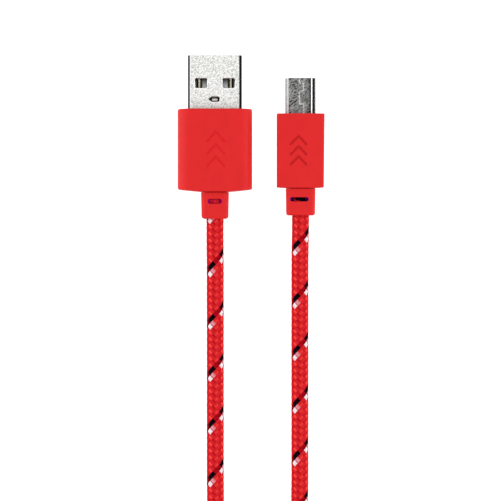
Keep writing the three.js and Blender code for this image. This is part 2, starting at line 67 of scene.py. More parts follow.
# The stored length: 5.8 turns laid round a round bundle, as rope strands are. Angles in degrees.
COIL_X, COIL_Y = 1.45, -113.2
COIL_MEAN_RADIUS = 20.4
COIL_TURN_OFFSET = 3.95
COIL_START_ANGLE = 130.0
COIL_SWEEP = 2080.0
COIL_STEP = 8.0
BUNDLE_START_ANGLE = -45.0
BUNDLE_TURN_PER_ROUND = 60.0
TIE_ANGLE = 270.0
TIE_LIFT = 0.45  # the strap under the bundle holds it this far off the floor
TIE_LIFT_FROM, TIE_LIFT_TO = 50, 14  # degrees from the strap between which the bundle rises

# The braid: 16 carriers, over two and under two.
BRAID_PITCH = 11.8
CARRIERS = 16
CELL_STEPS = 3
BRAID_CORE_RADIUS = 1.83
YARN_RISE = 0.12
TRACER_YARN = 3
WIDE_TWIST, SMALL_TWIST = -6.35, 27.75  # degrees, so that the tracers lie right at each end
TWIST_FROM, TWIST_TO = 0.12, 0.88  # the share of the cord along which the twist changes
YARN_UNEVENNESS = 0.012
SMALL_DASH_FROM_END = 15.95
WIDE_DASH_FROM_START = -7.0
WIDE_HIDDEN = 8.6  # the lengths inside the boots, seen only through their slots
SMALL_HIDDEN = 9.0
SLOT_TRACER_ANGLE, SLOT_TRACER_HALF_ANGLE = 4.0, 32.0
SLOT_TRACER_SLANT = 35.0  # degrees for each millimetre along the boot

# The plugs: x and z from each one's own centre line, and y as in the object's frame.
WIDE_HOUSING = SimpleNamespace(
    x=WIDE_X, z=WIDE_Z, front_y=6.26, side_rear_y=-11.7, rear_y=-12.15,
    half_width=8.3, half_rear_width=8.3, half_height=4.0, boot_half_width=3.1,
    side_round=3.3, edge_round=0.42, crown=0.0,
    mark_x=0.24, mark_y=1.1, mark_half_width=1.9, mark_drop=2.1,
    mark_step=2.75, mark_depth=0.09,
)
SMALL_HOUSING = SimpleNamespace(
    x=SMALL_X, z=SMALL_Z, front_y=5.23, side_rear_y=-11.14, rear_y=-11.29,
    half_width=5.3, half_rear_width=5.15, half_height=3.4, boot_half_width=3.3,
    side_round=0.55, edge_round=0.14, crown=0.07,
    mark_x=-0.5, mark_y=0.2, mark_half_width=1.7, mark_drop=1.8,
    mark_step=2.25, mark_depth=0.14,
)
MARK_STROKE, MARK_SOFTNESS, MARK_COUNT = 0.5, 0.1, 3
MARK_GRID = 0.09  # the spacing of the mesh under the mark
PLAIN_GRID = 0.4
WIDE_BOOT = SimpleNamespace(
    x=WIDE_X, z=WIDE_Z, front_y=-12.27, rear_y=-18.15, half_front=3.1,
    half_rear=2.975, half_height=2.8, round=1.2, rear_round=0.62,
    slot_x=0.0, slot_y=-14.29, slot_half_length=1.6, slot_half_width=0.57,
)
SMALL_BOOT = SimpleNamespace(
    x=SMALL_X, z=SMALL_Z, front_y=-11.41, rear_y=-17.39, half_front=3.3,
    half_rear=3.2, half_height=2.8, round=1.2, rear_round=0.5,
    slot_x=-0.3, slot_y=-13.83, slot_half_length=2.05, slot_half_width=0.5,
)
SLOT_DEEP_Z = 0.9  # how near to the cord's middle line each slot is cut
SLOT_TAPER = 0.6
SHELL_REAR_Y, SHELL_TIP_Y = -0.6, 18.15
SHELL_HALF_WIDTH, SHELL_HALF_HEIGHT, SHELL_ROUND, SHELL_WALL = 6.0, 2.25, 0.6, 0.3
SHELL_LIP = 0.12
SHELL_RIGHT_EDGE, SHELL_LEFT_EDGE = 5.37, -5.57  # where the painted dark reflections along the edges begin
WINDOW_X, WINDOW_Y = 3.07, 11.95
WINDOW_HALF_WIDTH, WINDOW_HALF_LENGTH, WINDOW_CORNER, WINDOW_RIM = 1.385, 1.08, 0.4, 0.2
LOCK_TIP_X, LOCK_LEFT_X, LOCK_RIGHT_X = -1.5, -0.72, 0.62
LOCK_REAR_Y, LOCK_FRONT_Y, LOCK_END = 7.81, 8.98, 0.48
LOCK_TAB_PROFILE = [  # (y, height from the shell's top), from its root to its tip
    (7.6, -0.34), (8.08, -0.36), (8.1, -0.36), (8.42, -0.42), (8.46, -0.44), (8.9, -0.62),
]
LOCK_TAB_THICK, LOCK_TAB_BEVEL = 0.2, 0.05
# Where the tab's near-black painted shade ends, and where its painted highlight ends.
LOCK_TAB_DARK_Y, LOCK_TAB_LIGHT_Y = 8.09, 8.44
SMALL_SHELL_REAR_Y, SMALL_SHELL_TIP_Y, SMALL_SHELL_WALL = 0.3, 13.23, 0.2
SMALL_SHELL_GRID, SMALL_SHELL_LIP = 0.075, 0.08
SMALL_SHELL_CORNERS = [  # (x, z, radius)
    (3.42, -0.925, 0.28), (3.42, -0.02, 0.5), (2.5, 0.925, 0.42),
    (-2.5, 0.925, 0.42), (-3.42, -0.02, 0.5), (-3.42, -0.925, 0.28),
]
SMALL_SHELL_TOP = 0.925
SEAM_X, SEAM_TAB, SEAM_HALF_WIDTH, SEAM_DEPTH = -0.28, 0.97, 0.12, 0.05
SEAM_TAB_Y = (12.06, 10.29, 7.43)  # where the joint steps aside, back, and aside again
SEAM_START_Y, SEAM_END_Y = 4.0, 3.0  # inside the housing, where it no longer shows
HOOK_X, HOOK_Y, HOOK_HALF_WIDTH, HOOK_HALF_LENGTH, HOOK_CORNER = 2.35, 11.15, 0.42, 1.15, 0.12
CREST_HALF_WIDTH, CREST_BEVEL = 0.18, 0.08
CREST_REAR_Y = 10.2  # from here to the tip the crest is painted as a highlight
TIE_THICK, TIE_WIDTH = 0.45, 8.0
STRAP_START, STRAP_SWEEP = 205.0, 440.0  # degrees round the bundle
STRAP_LAP_FROM, STRAP_LAP_TO, STRAP_LAP_RISE = 345.0, 372.0, 0.42
STRAP_LAP_THINNER = 0.3  # the share by which the outer layer is thinner
STRAP_TIP_TAPER, STRAP_TIP_WIDTH = 15.0, 0.55
STITCH_INSET, STITCH_HALF_WIDTH, STITCH_HEIGHT = 0.85, 0.14, 0.08
STITCH_PITCH, STITCH_LENGTH, STITCH_SLOPE = 9.0, 6.5, 1.5  # degrees round the bundle
STITCH_FROM, STITCH_TO = 84.0, 418.0

# ---- Node materials ----


class NodeTree:
    """A node tree, with short calls for its nodes."""

    def __init__(self, tree):
        self.tree = tree

    def feed(self, socket, value):
        """Links a socket, or sets it. A colour is given as red, green and blue."""
        if isinstance(value, bpy.types.NodeSocket):
            self.tree.links.new(value, socket)
        elif socket.type == "RGBA":
            socket.default_value = (*value[:3], 1.0)
        else:
            socket.default_value = value

    def node(self, kind, inputs=None, **settings):
        made = self.tree.nodes.new(kind)
        for key, value in settings.items():
            setattr(made, key, value)
        for socket, value in (inputs or {}).items():
            self.feed(made.inputs[socket], value)
        return made

    def math(self, operation, first, second=0.0):
        return self.node("ShaderNodeMath", {0: first, 1: second}, operation=operation).outputs[0]

    def axes(self, vector):
        """The X, Y and Z of a vector, as three outputs."""
        return self.node("ShaderNodeSeparateXYZ", {"Vector": vector}).outputs

    def ramp(self, value, low, high, start, end):
        made = self.node("ShaderNodeMapRange", interpolation_type="SMOOTHSTEP")
        keys = ("Value", "From Min", "From Max", "To Min", "To Max")
        for key, item in zip(keys, (value, low, high, start, end)):
            self.feed(made.inputs[key], item)
        return made.outputs["Result"]

    def mix(self, factor, first, second, blend="MIX"):
        made = self.node("ShaderNodeMix", data_type="RGBA", blend_type=blend)
        self.feed(made.inputs[0], factor)
        self.feed(made.inputs[6], first)
        self.feed(made.inputs[7], second)
        return made.outputs[2]

    def bump(self, height, distance, strength):
        inputs = {"Height": height, "Distance": distance, "Strength": strength}
        return self.node("ShaderNodeBump", inputs).outputs["Normal"]


class Shading(NodeTree):
    """A material's node tree, with its places in the object's own frame."""

    def __init__(self, name, **sockets):
        self.material = bpy.data.materials.new(name)
        self.material.use_nodes = True
        super().__init__(self.material.node_tree)
        self.shader = self.tree.nodes["Principled BSDF"]
        self.drive(**sockets)
        self.place = self.node("ShaderNodeTexCoord").outputs["Object"]

    def drive(self, **sockets):
        """Sets the shader's sockets to values or links, and gives the material."""
        for socket, value in sockets.items():
            self.feed(self.shader.inputs[socket.replace("_", " ")], value)
        return self.material

    def stretch(self, scale, place=None, turn=0.0):
        """Turns a position about Z, then scales it, so the stretch runs along the turned axes."""
        inputs = {"Vector": place or self.place, "Rotation": (0, 0, math.radians(turn))}
        turned = self.node("ShaderNodeMapping", inputs).outputs["Vector"]
        return self.node("ShaderNodeMapping", {"Vector": turned, "Scale": scale}).outputs["Vector"]

    def noise(self, scale, detail, place=None, distortion=0.0):
        inputs = {
            "Vector": place or self.place,
            "Scale": scale,
            "Detail": detail,
            "Distortion": distortion,
        }
        return self.node("ShaderNodeTexNoise", inputs).outputs["Fac"]


def plastic(name, base, roughness, specular=0.5, mark_shade=0.95):
    """Moulded plastic: slow tone changes, a fine moulded texture, uneven gloss, painted shade in the
    engraved mark.
    """
    look = Shading(name, Specular_IOR_Level=specular)
    slow = look.ramp(look.noise(260, 3), 0.3, 0.7, 0, 1)
    dark = tuple(0.955 * part for part in base)
    tone = look.mix(slow, dark, base)
    groove = look.node("ShaderNodeAttribute", attribute_name="groove").outputs["Fac"]
    # The engraved mark is darkened, its green and blue the most: painted shade in the groove.
    mark_shade_tone = (mark_shade * base[0], 0.4 * mark_shade * base[1], 0.6 * mark_shade * base[2])
    tone = look.mix(groove, tone, mark_shade_tone)
    fine = look.noise(5200, 3)
    gloss = look.ramp(look.noise(900, 4), 0.25, 0.75, roughness - 0.05, roughness + 0.07)
    return look.drive(
        Base_Color=tone,
        Roughness=gloss,
        Normal=look.bump(fine, 0.000004, 0.5),
    )


def metal(
    name, light, dark, roughness, grain_scale, grain,
    stretch=(1, 1, 1), turn=0.0, metallic=1.0, mottling=(0.32, 0.62), dimmer=None, detail=4.0,
):
    """
    Pressed sheet metal: a mottled rolled grain that scatters the light. `dimmer`, for painted shade,
    is an axis, the places along it in millimetres where the shade is full and where it ends, and the
    shade's colour.
    """
    look = Shading(name, Metallic=metallic)
    place = look.stretch(stretch, turn=turn)
    mottle = look.noise(grain_scale, detail, place=place, distortion=0.6)
    fine = look.noise(grain_scale * 4, 2, place=place)
    height = look.math("ADD", mottle, look.math("MULTIPLY", fine, 0.25))
    tone = look.mix(look.ramp(mottle, *mottling, 0, 1), dark, light)
    if dimmer:
        # Painted shade: the tone is darkened by the given colour towards one end of the axis.
        axis, full_at, none_at, shade_tint = dimmer
        share = look.ramp(look.axes(look.place)[axis], full_at * MM, none_at * MM, 1, 0)
        tone = look.mix(share, tone, look.mix(1.0, tone, shade_tint, blend="MULTIPLY"))
    gloss = look.ramp(fine, 0.3, 0.7, roughness - 0.05, roughness + 0.08)
    return look.drive(
        Base_Color=tone,
        Roughness=gloss,
        Normal=look.bump(height, 0.00006, grain),
    )


def yarn(name, crest, valley, painted_glint=None):
    """
    Flat filament yarn. U runs across the yarn and V along it, one unit to a yarn's width, and
    each visible stretch is two units long: painted shade where it dips under, and a painted highlight
    across it.
    """
    look = Shading(name, Roughness=0.62, Specular_IOR_Level=0.0)
    uv = look.node("ShaderNodeUVMap").outputs["UV"]
    parts = look.axes(uv)
    across, along = parts["X"], parts["Y"]
    arch = look.math("SINE", look.math("MULTIPLY", look.math("FRACT", across), math.pi))
    place = look.math("FRACT", look.math("MULTIPLY", along, 0.5))
    # Painted shade: darker where the yarn dips under the crossing yarns and towards its edges.
    rises, falls = look.ramp(place, 0.05, 0.45, 0, 1), look.ramp(place, 0.86, 1.0, 1, 0.45)
    dips = look.math("MULTIPLY", rises, falls)
    shade = look.math("MULTIPLY", dips, look.ramp(arch, 0.0, 0.45, 0.75, 1))
    stray = look.noise(9, 3, place=look.stretch((3.0, 0.8, 1.0), place=uv))
    shade = look.math("MULTIPLY", shade, look.ramp(stray, 0.3, 0.6, 0.6, 1.0))
    tone = look.mix(shade, valley, crest)
    # A painted highlight across each visible stretch.
    if painted_glint:
        nearness = look.math("ABSOLUTE", look.math("SUBTRACT", place, 0.66))
        middle, crown = look.ramp(nearness, 0.02, 0.13, 1, 0), look.ramp(arch, 0.0, 0.35, 0, 1)
        uneven = look.ramp(stray, 0.3, 0.6, 0.4, 1.0)
        share = look.math("MULTIPLY", look.math("MULTIPLY", middle, crown), uneven)
        tone = look.mix(share, tone, painted_glint)
    fibre = look.math("SINE", look.math("MULTIPLY", across, 5 * TAU))
    height = look.math("ADD", look.math("MULTIPLY", fibre, 0.5), stray)
    return look.drive(Base_Color=tone, Normal=look.bump(height, 0.00003, 0.7))


def cloth(name, light, dark):
    """Brushed hook-and-loop webbing: a fuzzy nap over ribs that run along the strap."""
    look = Shading(name, Roughness=0.95, Sheen_Weight=0.3, Sheen_Roughness=0.5)
    nap = look.noise(3500, 5, distortion=1.2)
    rib_pitch = 0.55 * MM
    rib = look.math("SINE", look.math("MULTIPLY", look.axes(look.place)["X"], TAU / rib_pitch))
    fuzzy, ribbed = look.ramp(nap, 0.3, 0.7, 0.3, 1), look.ramp(rib, -1, 0.4, 0.35, 1)
    shade = look.math("MULTIPLY", fuzzy, ribbed)
    height = look.math("ADD", nap, look.math("MULTIPLY", rib, 0.5))
    return look.drive(
        Base_Color=look.mix(shade, dark, light),
        Normal=look.bump(height, 0.00016, 0.9),
    )


def tongue_painted_light(name, front, rear, rear_y, front_y):
    """The plug's plastic tongue with painted light under the windows: black, but light at rear_y and
    darkening from there to front_y.
    """
    look = Shading(name, Specular_IOR_Level=0.3, Roughness=0.5)
    y = look.axes(look.place)["Y"]
    tone = look.mix(look.ramp(y, rear_y * MM, front_y * MM, 0, 1), rear, front)
    near = look.ramp(y, (rear_y - 0.6) * MM, (rear_y - 0.4) * MM, 0, 1)
    return look.drive(Base_Color=look.mix(near, front, tone))


RED = (0.63, 0.0125, 0.0135)

red_plastic = plastic("red_plastic", RED, 0.5, specular=0.14)
# The small grip's engraved mark gets a deeper painted shade.
red_plastic_small = plastic("red_plastic_small", RED, 0.5, specular=0.14, mark_shade=0.72)
boot_plastic = plastic("boot_plastic", RED, 0.5, specular=0.14)
slot_plastic = plastic("slot_plastic", (0.40, 0.001, 0.24), 0.5, specular=0.1)
slot_plastic_small = plastic("slot_plastic_small", (0.05, 0.001, 0.26), 0.5, specular=0.1)
# A darker copy of the boots' red for the slots' long walls: painted shade.
slot_wall_shade = plastic("slot_wall_shade", (0.40, 0.003, 0.01), 0.5, specular=0.1)
# The tongue: black, with painted light under the windows.
tongue_painted_skin = tongue_painted_light("tongue", (0.03, 0.03, 0.03), (0.92, 0.93, 0.92), 10.9, 13.2)
# Near black for the tongue's contact grooves: painted shade.
groove_shade_plastic = plastic("groove_shade_plastic", (0.006, 0.005, 0.005), 0.5)
black_plastic = plastic("black_plastic", (0.012, 0.012, 0.014), 0.4)
clear_mould = plastic("clear_mould", (0.62, 0.6, 0.54), 0.4)
bright_steel = metal(
    "bright_steel", (0.79, 0.79, 0.77), (0.46, 0.46, 0.445), 0.52, 4300, 0.3,
    stretch=(0.5, 1, 1), turn=-42, detail=1.0, mottling=(0.34, 0.60),
    # Painted shade beside the housing, tinted a little less red to cancel the red that the housing
    # reflects onto it.
    dimmer=("Y", 6.0, 9.5, (0.81, 0.825, 0.82)),
)
# Near-black steel for painted dark reflections on the shells and painted shade at the lock tab's root.
painted_dark_steel = metal("painted_dark_steel", (0.01, 0.01, 0.009), (0.004, 0.004, 0.004), 0.5, 2600, 0.1)
# Light steel for the painted highlight just inside the wide shell's left edge.
painted_highlight_steel = metal("painted_highlight_steel", (0.82, 0.82, 0.82), (0.76, 0.76, 0.76), 0.5, 2600, 0.05)
# A brighter copy of the steel for the rims of the holes: a painted highlight.
rim_highlight_steel = metal("rim_highlight_steel", (0.82, 0.82, 0.81), (0.74, 0.74, 0.72), 0.5, 3000, 0.05)
# The lit and the shaded copy of the tab's steel: painted highlight and painted shade.
tab_highlight_steel = metal("tab_highlight_steel", (0.66, 0.62, 0.62), (0.5, 0.46, 0.46), 0.4, 3000, 0.05)
tab_shade = metal("tab_shade", (0.30, 0.285, 0.235), (0.24, 0.23, 0.185), 0.4, 3000, 0.05)
seam_steel = metal(
    "seam_steel", (0.58, 0.58, 0.57), (0.12, 0.12, 0.12), 0.5, 3000, 0.1, mottling=(0.36, 0.52),
)
# Light steel for the painted highlights on the small shell's top.
strip_highlight_steel = metal(
    "strip_highlight_steel", (0.65, 0.70, 0.70), (0.58, 0.62, 0.62), 0.6, 2600, 0.05, metallic=0.3,
)
# White steel for the painted highlight on the small shell's right fold.
fold_highlight_steel = metal("fold_highlight_steel", (0.9, 0.9, 0.9), (0.84, 0.84, 0.84), 0.5, 2600, 0.05)
# Darker steel for a strip of painted shade on the small shell's left corner.
strip_shade_steel = metal(
    "strip_shade_steel", (0.36, 0.36, 0.36), (0.28, 0.28, 0.28), 0.6, 2600, 0.05, metallic=0.3,
)
flank_steel = metal(
    "flank_steel", (0.40, 0.40, 0.395), (0.26, 0.26, 0.255), 0.45, 4600, 0.25,
    stretch=(1, 0.4, 1),
)
dark_steel = metal(
    "dark_steel", (0.27, 0.27, 0.266), (0.017, 0.017, 0.017), 0.42, 3200, 0.4,
    # Painted shade: darker towards the small shell's right side.
    stretch=(0.55, 1, 1), turn=-40, dimmer=("X", SMALL_X + 2.1, SMALL_X + 0.7, (0.68, 0.68, 0.68)),
)
latch_steel = metal("latch_steel", (0.7, 0.7, 0.69), (0.4, 0.4, 0.4), 0.3, 5200, 0.2)
shield_steel = metal("shield_steel", (0.66, 0.66, 0.66), (0.4, 0.4, 0.4), 0.36, 3000, 0.25)
gold_plate = metal("gold_plate", (0.86, 0.66, 0.32), (0.6, 0.42, 0.17), 0.25, 6000, 0.12)
# A pale bright copy of the contacts' gold for the painted highlight on their crests, and a near-black
# one for their painted dark sides.
contact_highlight = metal("contact_highlight", (1.0, 0.94, 0.76), (0.9, 0.83, 0.64), 0.68, 3000, 0.05)
contact_dark = metal("contact_dark", (0.05, 0.035, 0.015), (0.02, 0.015, 0.008), 0.4, 6000, 0.1)
wire_skins = {
    "power": plastic("wire_red", (0.5, 0.02, 0.02), 0.4),
    "data_minus": plastic("wire_white", (0.75, 0.75, 0.72), 0.4),
    "data_plus": plastic("wire_green", (0.03, 0.3, 0.07), 0.4),
    "ground": plastic("wire_black", (0.015, 0.015, 0.015), 0.4),
}

strap_cloth = cloth("strap_cloth", (0.035, 0.035, 0.038), (0.006, 0.006, 0.007))
stitch_thread = plastic("stitch_thread", (0.11, 0.11, 0.115), 0.6)

# For each yarn: the colour on its crests, its painted shade in the dips and at the edges, and for the
# red yarns a painted highlight, weaker on the second family.
braid_red = yarn(
    "braid_red", (0.62, 0.018, 0.020), (0.41, 0.006, 0.013), (0.90, 0.082, 0.062)
)
braid_back = yarn(
    "braid_back", (0.60, 0.018, 0.020), (0.45, 0.007, 0.014), (0.74, 0.044, 0.040)
)
# A brighter copy of the red yarn for inside the boots: painted light, seen through the slots.
braid_lit_inside = yarn("braid_lit_inside", (0.8, 0.024, 0.045), (0.6, 0.008, 0.04))
braid_deep = yarn("braid_deep", (0.36, 0.003, 0.008), (0.16, 0.001, 0.003))
braid_black = yarn("braid_black", (0.004, 0.003, 0.005), (0.002, 0.001, 0.003))
braid_white = yarn("braid_white", (0.78, 0.70, 0.72), (0.55, 0.32, 0.37))
braid_mauve = yarn("braid_mauve", (0.50, 0.14, 0.19), (0.35, 0.05, 0.08))
braid_pink = yarn("braid_pink", (0.80, 0.40, 0.42), (0.60, 0.16, 0.19))

# Each piece's materials, and the names of their slots.
BRAID_SKINS = [
    braid_red, braid_deep, braid_black, braid_white, braid_mauve, braid_pink, braid_back, braid_lit_inside,
]
DEEP_YARN, BLACK_YARN, WHITE_YARN, MAUVE_YARN, PINK_YARN, BACK_YARN, INSIDE_YARN = range(1, 8)
BOOT_CUT, BOOT_SLOT_SHADE = 1, 2
SHELL_SKINS = [bright_steel, painted_dark_steel, painted_highlight_steel, rim_highlight_steel, flank_steel]
SHELL_PAINTED_DARK, SHELL_PAINTED_HIGHLIGHT, SHELL_RIM, SHELL_FLANK = range(1, 5)
TAB_SKINS = [tab_shade, tab_highlight_steel, painted_dark_steel]
TAB_LIGHT, TAB_DARK = 1, 2
SMALL_SKINS = [
    dark_steel, seam_steel, fold_highlight_steel, strip_shade_steel, painted_dark_steel, strip_highlight_steel, flank_steel,
]
FACE, SEAM, FOLD, SIDE, EDGE, LIGHT, FLANK = range(7)
# The strips are painted light: the light and white ones are painted highlights, the darker one on the
# left is painted shade, and the black ones are painted dark reflections.
SMALL_STRIPS = (  # the small shell's top, from left to right: each strip's right edge and its slot
    (-3.28, LIGHT), (-3.06, SIDE), (-2.66, LIGHT), (2.03, FACE), (2.33, EDGE), (2.58, FOLD),
    (3.24, EDGE),
)
STITCH = 1

# ---- Mesh helpers ----


def smooth_by_angle(piece, degrees):
    """Smooth shading with sharp edges, and flat faces kept flat."""
    mesh = piece.data
    mesh.polygons.foreach_set("use_smooth", np.full(len(mesh.polygons), True))
    mesh.set_sharp_from_angle(angle=math.radians(degrees))
    piece.modifiers.new("weights", "WEIGHTED_NORMAL").keep_sharp = True


def apply_modifiers(piece):
    graph = bpy.context.evaluated_depsgraph_get()
    mesh = bpy.data.meshes.new_from_object(piece.evaluated_get(graph))
    piece.modifiers.clear()
    piece.data = mesh


def cut(piece, cutter):
    """Takes the cutter's solid out of the piece; the cut faces get the cutter's material."""
    modifier = piece.modifiers.new("cut", "BOOLEAN")
    modifier.operation = "DIFFERENCE"
    modifier.solver = "EXACT"
    modifier.material_mode = "TRANSFER"
    modifier.object = cutter
    apply_modifiers(piece)
    bpy.data.objects.remove(cutter)


def outward(piece):
    """Turns every face of a closed mesh to point out."""
    work = bmesh.new()
    work.from_mesh(piece.data)
    bmesh.ops.recalc_face_normals(work, faces=work.faces)
    work.to_mesh(piece.data)
    work.free()
    return piece


def ring_faces(rings, around, closed=False):
    """The quads between rings of points that follow each other."""
    faces = []
    for k in range(rings if closed else rings - 1):
        here, there = k * around, (k + 1) % rings * around
        for i in range(around):
            after = (i + 1) % around
            faces.append((here + i, here + after, there + after, there + i))
    return faces


def end_caps(rings, around):
    """One face over each open end of a loft."""
    return [tuple(range(around)), tuple(range((rings - 1) * around, rings * around))]


def strip_caps(rings, around):
    """Faces for both open ends of a loft whose rings are mirrored, first half over second half."""
    faces = []
    for base in (0, (rings - 1) * around):
        for i in range(around // 2 - 1):
            across = around - 1 - i
            faces.append((base + i, base + i + 1, base + across - 1, base + across))
    return faces


def loft(name, rings, materials, closed=False, smooth=True):
    """A solid through rings of points: with a face over each end, or closed like a torus."""
    around = len(rings[0])
    faces = ring_faces(len(rings), around, closed)
    if not closed:
        faces += end_caps(len(rings), around)
    return outward(piece_from(name, np.concatenate(rings), faces, materials, smooth=smooth))


def punch(name, outline, levels, material):
    """A closed cutter: `outline(offset)` gives its points in (x, y), `levels` its (z, offset)."""
    rings = [[(x, y, z) for x, y in outline(offset)] for z, offset in levels]
    return loft(name, rings, [material], smooth=False)


def rounded_outline(centre_x, centre_y, half_x, half_y, corner, offset=0.0, steps=7):
    """A rectangle with round corners, grown outwards by `offset`."""
    points = []
    for side_x, side_y, start in ((1, 1, 0), (-1, 1, 90), (-1, -1, 180), (1, -1, 270)):
        for angle in np.radians(np.linspace(start, start + 90, steps)):
            points.append((
                centre_x + side_x * (half_x - corner) + (corner + offset) * math.cos(angle),
                centre_y + side_y * (half_y - corner) + (corner + offset) * math.sin(angle),
            ))
    return points


def paint_faces(piece, choose):
    """
    Gives each face the slot that `choose` picks from its centre in millimetres, its normal and
    its slot so far, and leaves it when that is None.
    """
    for face in piece.data.polygons:
        pick = choose(face.center / MM, face.normal, face.material_index)
        if pick is not None:
            face.material_index = pick


def piece_from(name, vertices, faces, materials, slots=None, smooth=True):
    """A mesh object from points in millimetres."""
    mesh = bpy.data.meshes.new(name)
    mesh.from_pydata((np.asarray(vertices) * MM).tolist(), [], faces)
    for item in materials:
        mesh.materials.append(item)
    if slots is not None:
        mesh.polygons.foreach_set("material_index", np.asarray(slots, np.int32))
    mesh.polygons.foreach_set("use_smooth", np.full(len(mesh.polygons), smooth))
    mesh.update()
    made = bpy.data.objects.new(name, mesh)
    bpy.context.scene.collection.objects.link(made)
    return made


# ---- Cord ----


def smoothstep(value, low, high):
    part = np.clip((value - low) / (high - low), 0, 1)
    return part * part * (3 - 2 * part)


def coil_points():
    """Points along the coil's centreline, from where the wide plug's cord enters it."""
    points = []
    for step in range(round(COIL_SWEEP / COIL_STEP) + 1):
        turned = step * COIL_STEP
        angle = math.radians(COIL_START_ANGLE + turned)
        in_bundle = math.radians(BUNDLE_START_ANGLE - BUNDLE_TURN_PER_ROUND * turned / 360)
        radius = COIL_MEAN_RADIUS + COIL_TURN_OFFSET * math.cos(in_bundle)
        from_tie = (math.degrees(angle) - TIE_ANGLE + 180) % 360 - 180
        lift = TIE_LIFT * (1 - smoothstep(abs(from_tie), TIE_LIFT_TO, TIE_LIFT_FROM))
        middle = CORD_DIAMETER / 2 + COIL_TURN_OFFSET
        points.append((
            COIL_X + radius * math.cos(angle),
            COIL_Y + radius * math.sin(angle),
            middle + COIL_TURN_OFFSET * math.sin(in_bundle) + lift,
        ))
    return points


def smooth_path(points, spacing):
    """Points an even spacing apart on a centripetal Catmull-Rom curve."""
    given = np.array(points, float)
    first = 2 * given[0] - given[1]
    last = 2 * given[-1] - given[-2]
    given = np.vstack([first, given, last])
    dense = []
    for i in range(1, len(given) - 2):
        p0, p1, p2, p3 = given[i - 1:i + 3]
        t0 = 0.0
        t1 = t0 + np.linalg.norm(p1 - p0) ** 0.5
        t2 = t1 + np.linalg.norm(p2 - p1) ** 0.5
        t3 = t2 + np.linalg.norm(p3 - p2) ** 0.5
        t = np.linspace(t1, t2, 41)[:-1, None]
        a1 = (t1 - t) / (t1 - t0) * p0 + (t - t0) / (t1 - t0) * p1
        a2 = (t2 - t) / (t2 - t1) * p1 + (t - t1) / (t2 - t1) * p2
        a3 = (t3 - t) / (t3 - t2) * p2 + (t - t2) / (t3 - t2) * p3
        b1 = (t2 - t) / (t2 - t0) * a1 + (t - t0) / (t2 - t0) * a2
        b2 = (t3 - t) / (t3 - t1) * a2 + (t - t1) / (t3 - t1) * a3
        dense.append((t2 - t) / (t2 - t1) * b1 + (t - t1) / (t2 - t1) * b2)
    dense = np.vstack(dense + [given[-2][None, :]])
    run = np.concatenate([[0], np.cumsum(np.linalg.norm(np.diff(dense, axis=0), axis=1))])
    places = np.linspace(0, run[-1], int(round(run[-1] / spacing)) + 1)
    return np.stack([np.interp(places, run, dense[:, k]) for k in range(3)], 1), run[-1]


def top_yarn(a, b):
    """For braid coordinates: is the right-handed yarn on top, and how high the surface is, 0 to 1."""
    right, left = np.floor(a), np.floor(b)
    turn = np.mod(right + left, 4)
    right_on_top = turn < 2
    across = np.where(right_on_top, a - right, b - left)
    along = np.where(right_on_top, (turn + b - left) / 2, (turn - 2 + a - right) / 2)
    arch = np.sin(np.pi * np.clip(across, 0, 1)) ** 0.6
    dive = np.sin(np.pi * np.clip(along, 0, 1)) ** 0.45
    return right_on_top, arch * (0.35 + 0.65 * dive)


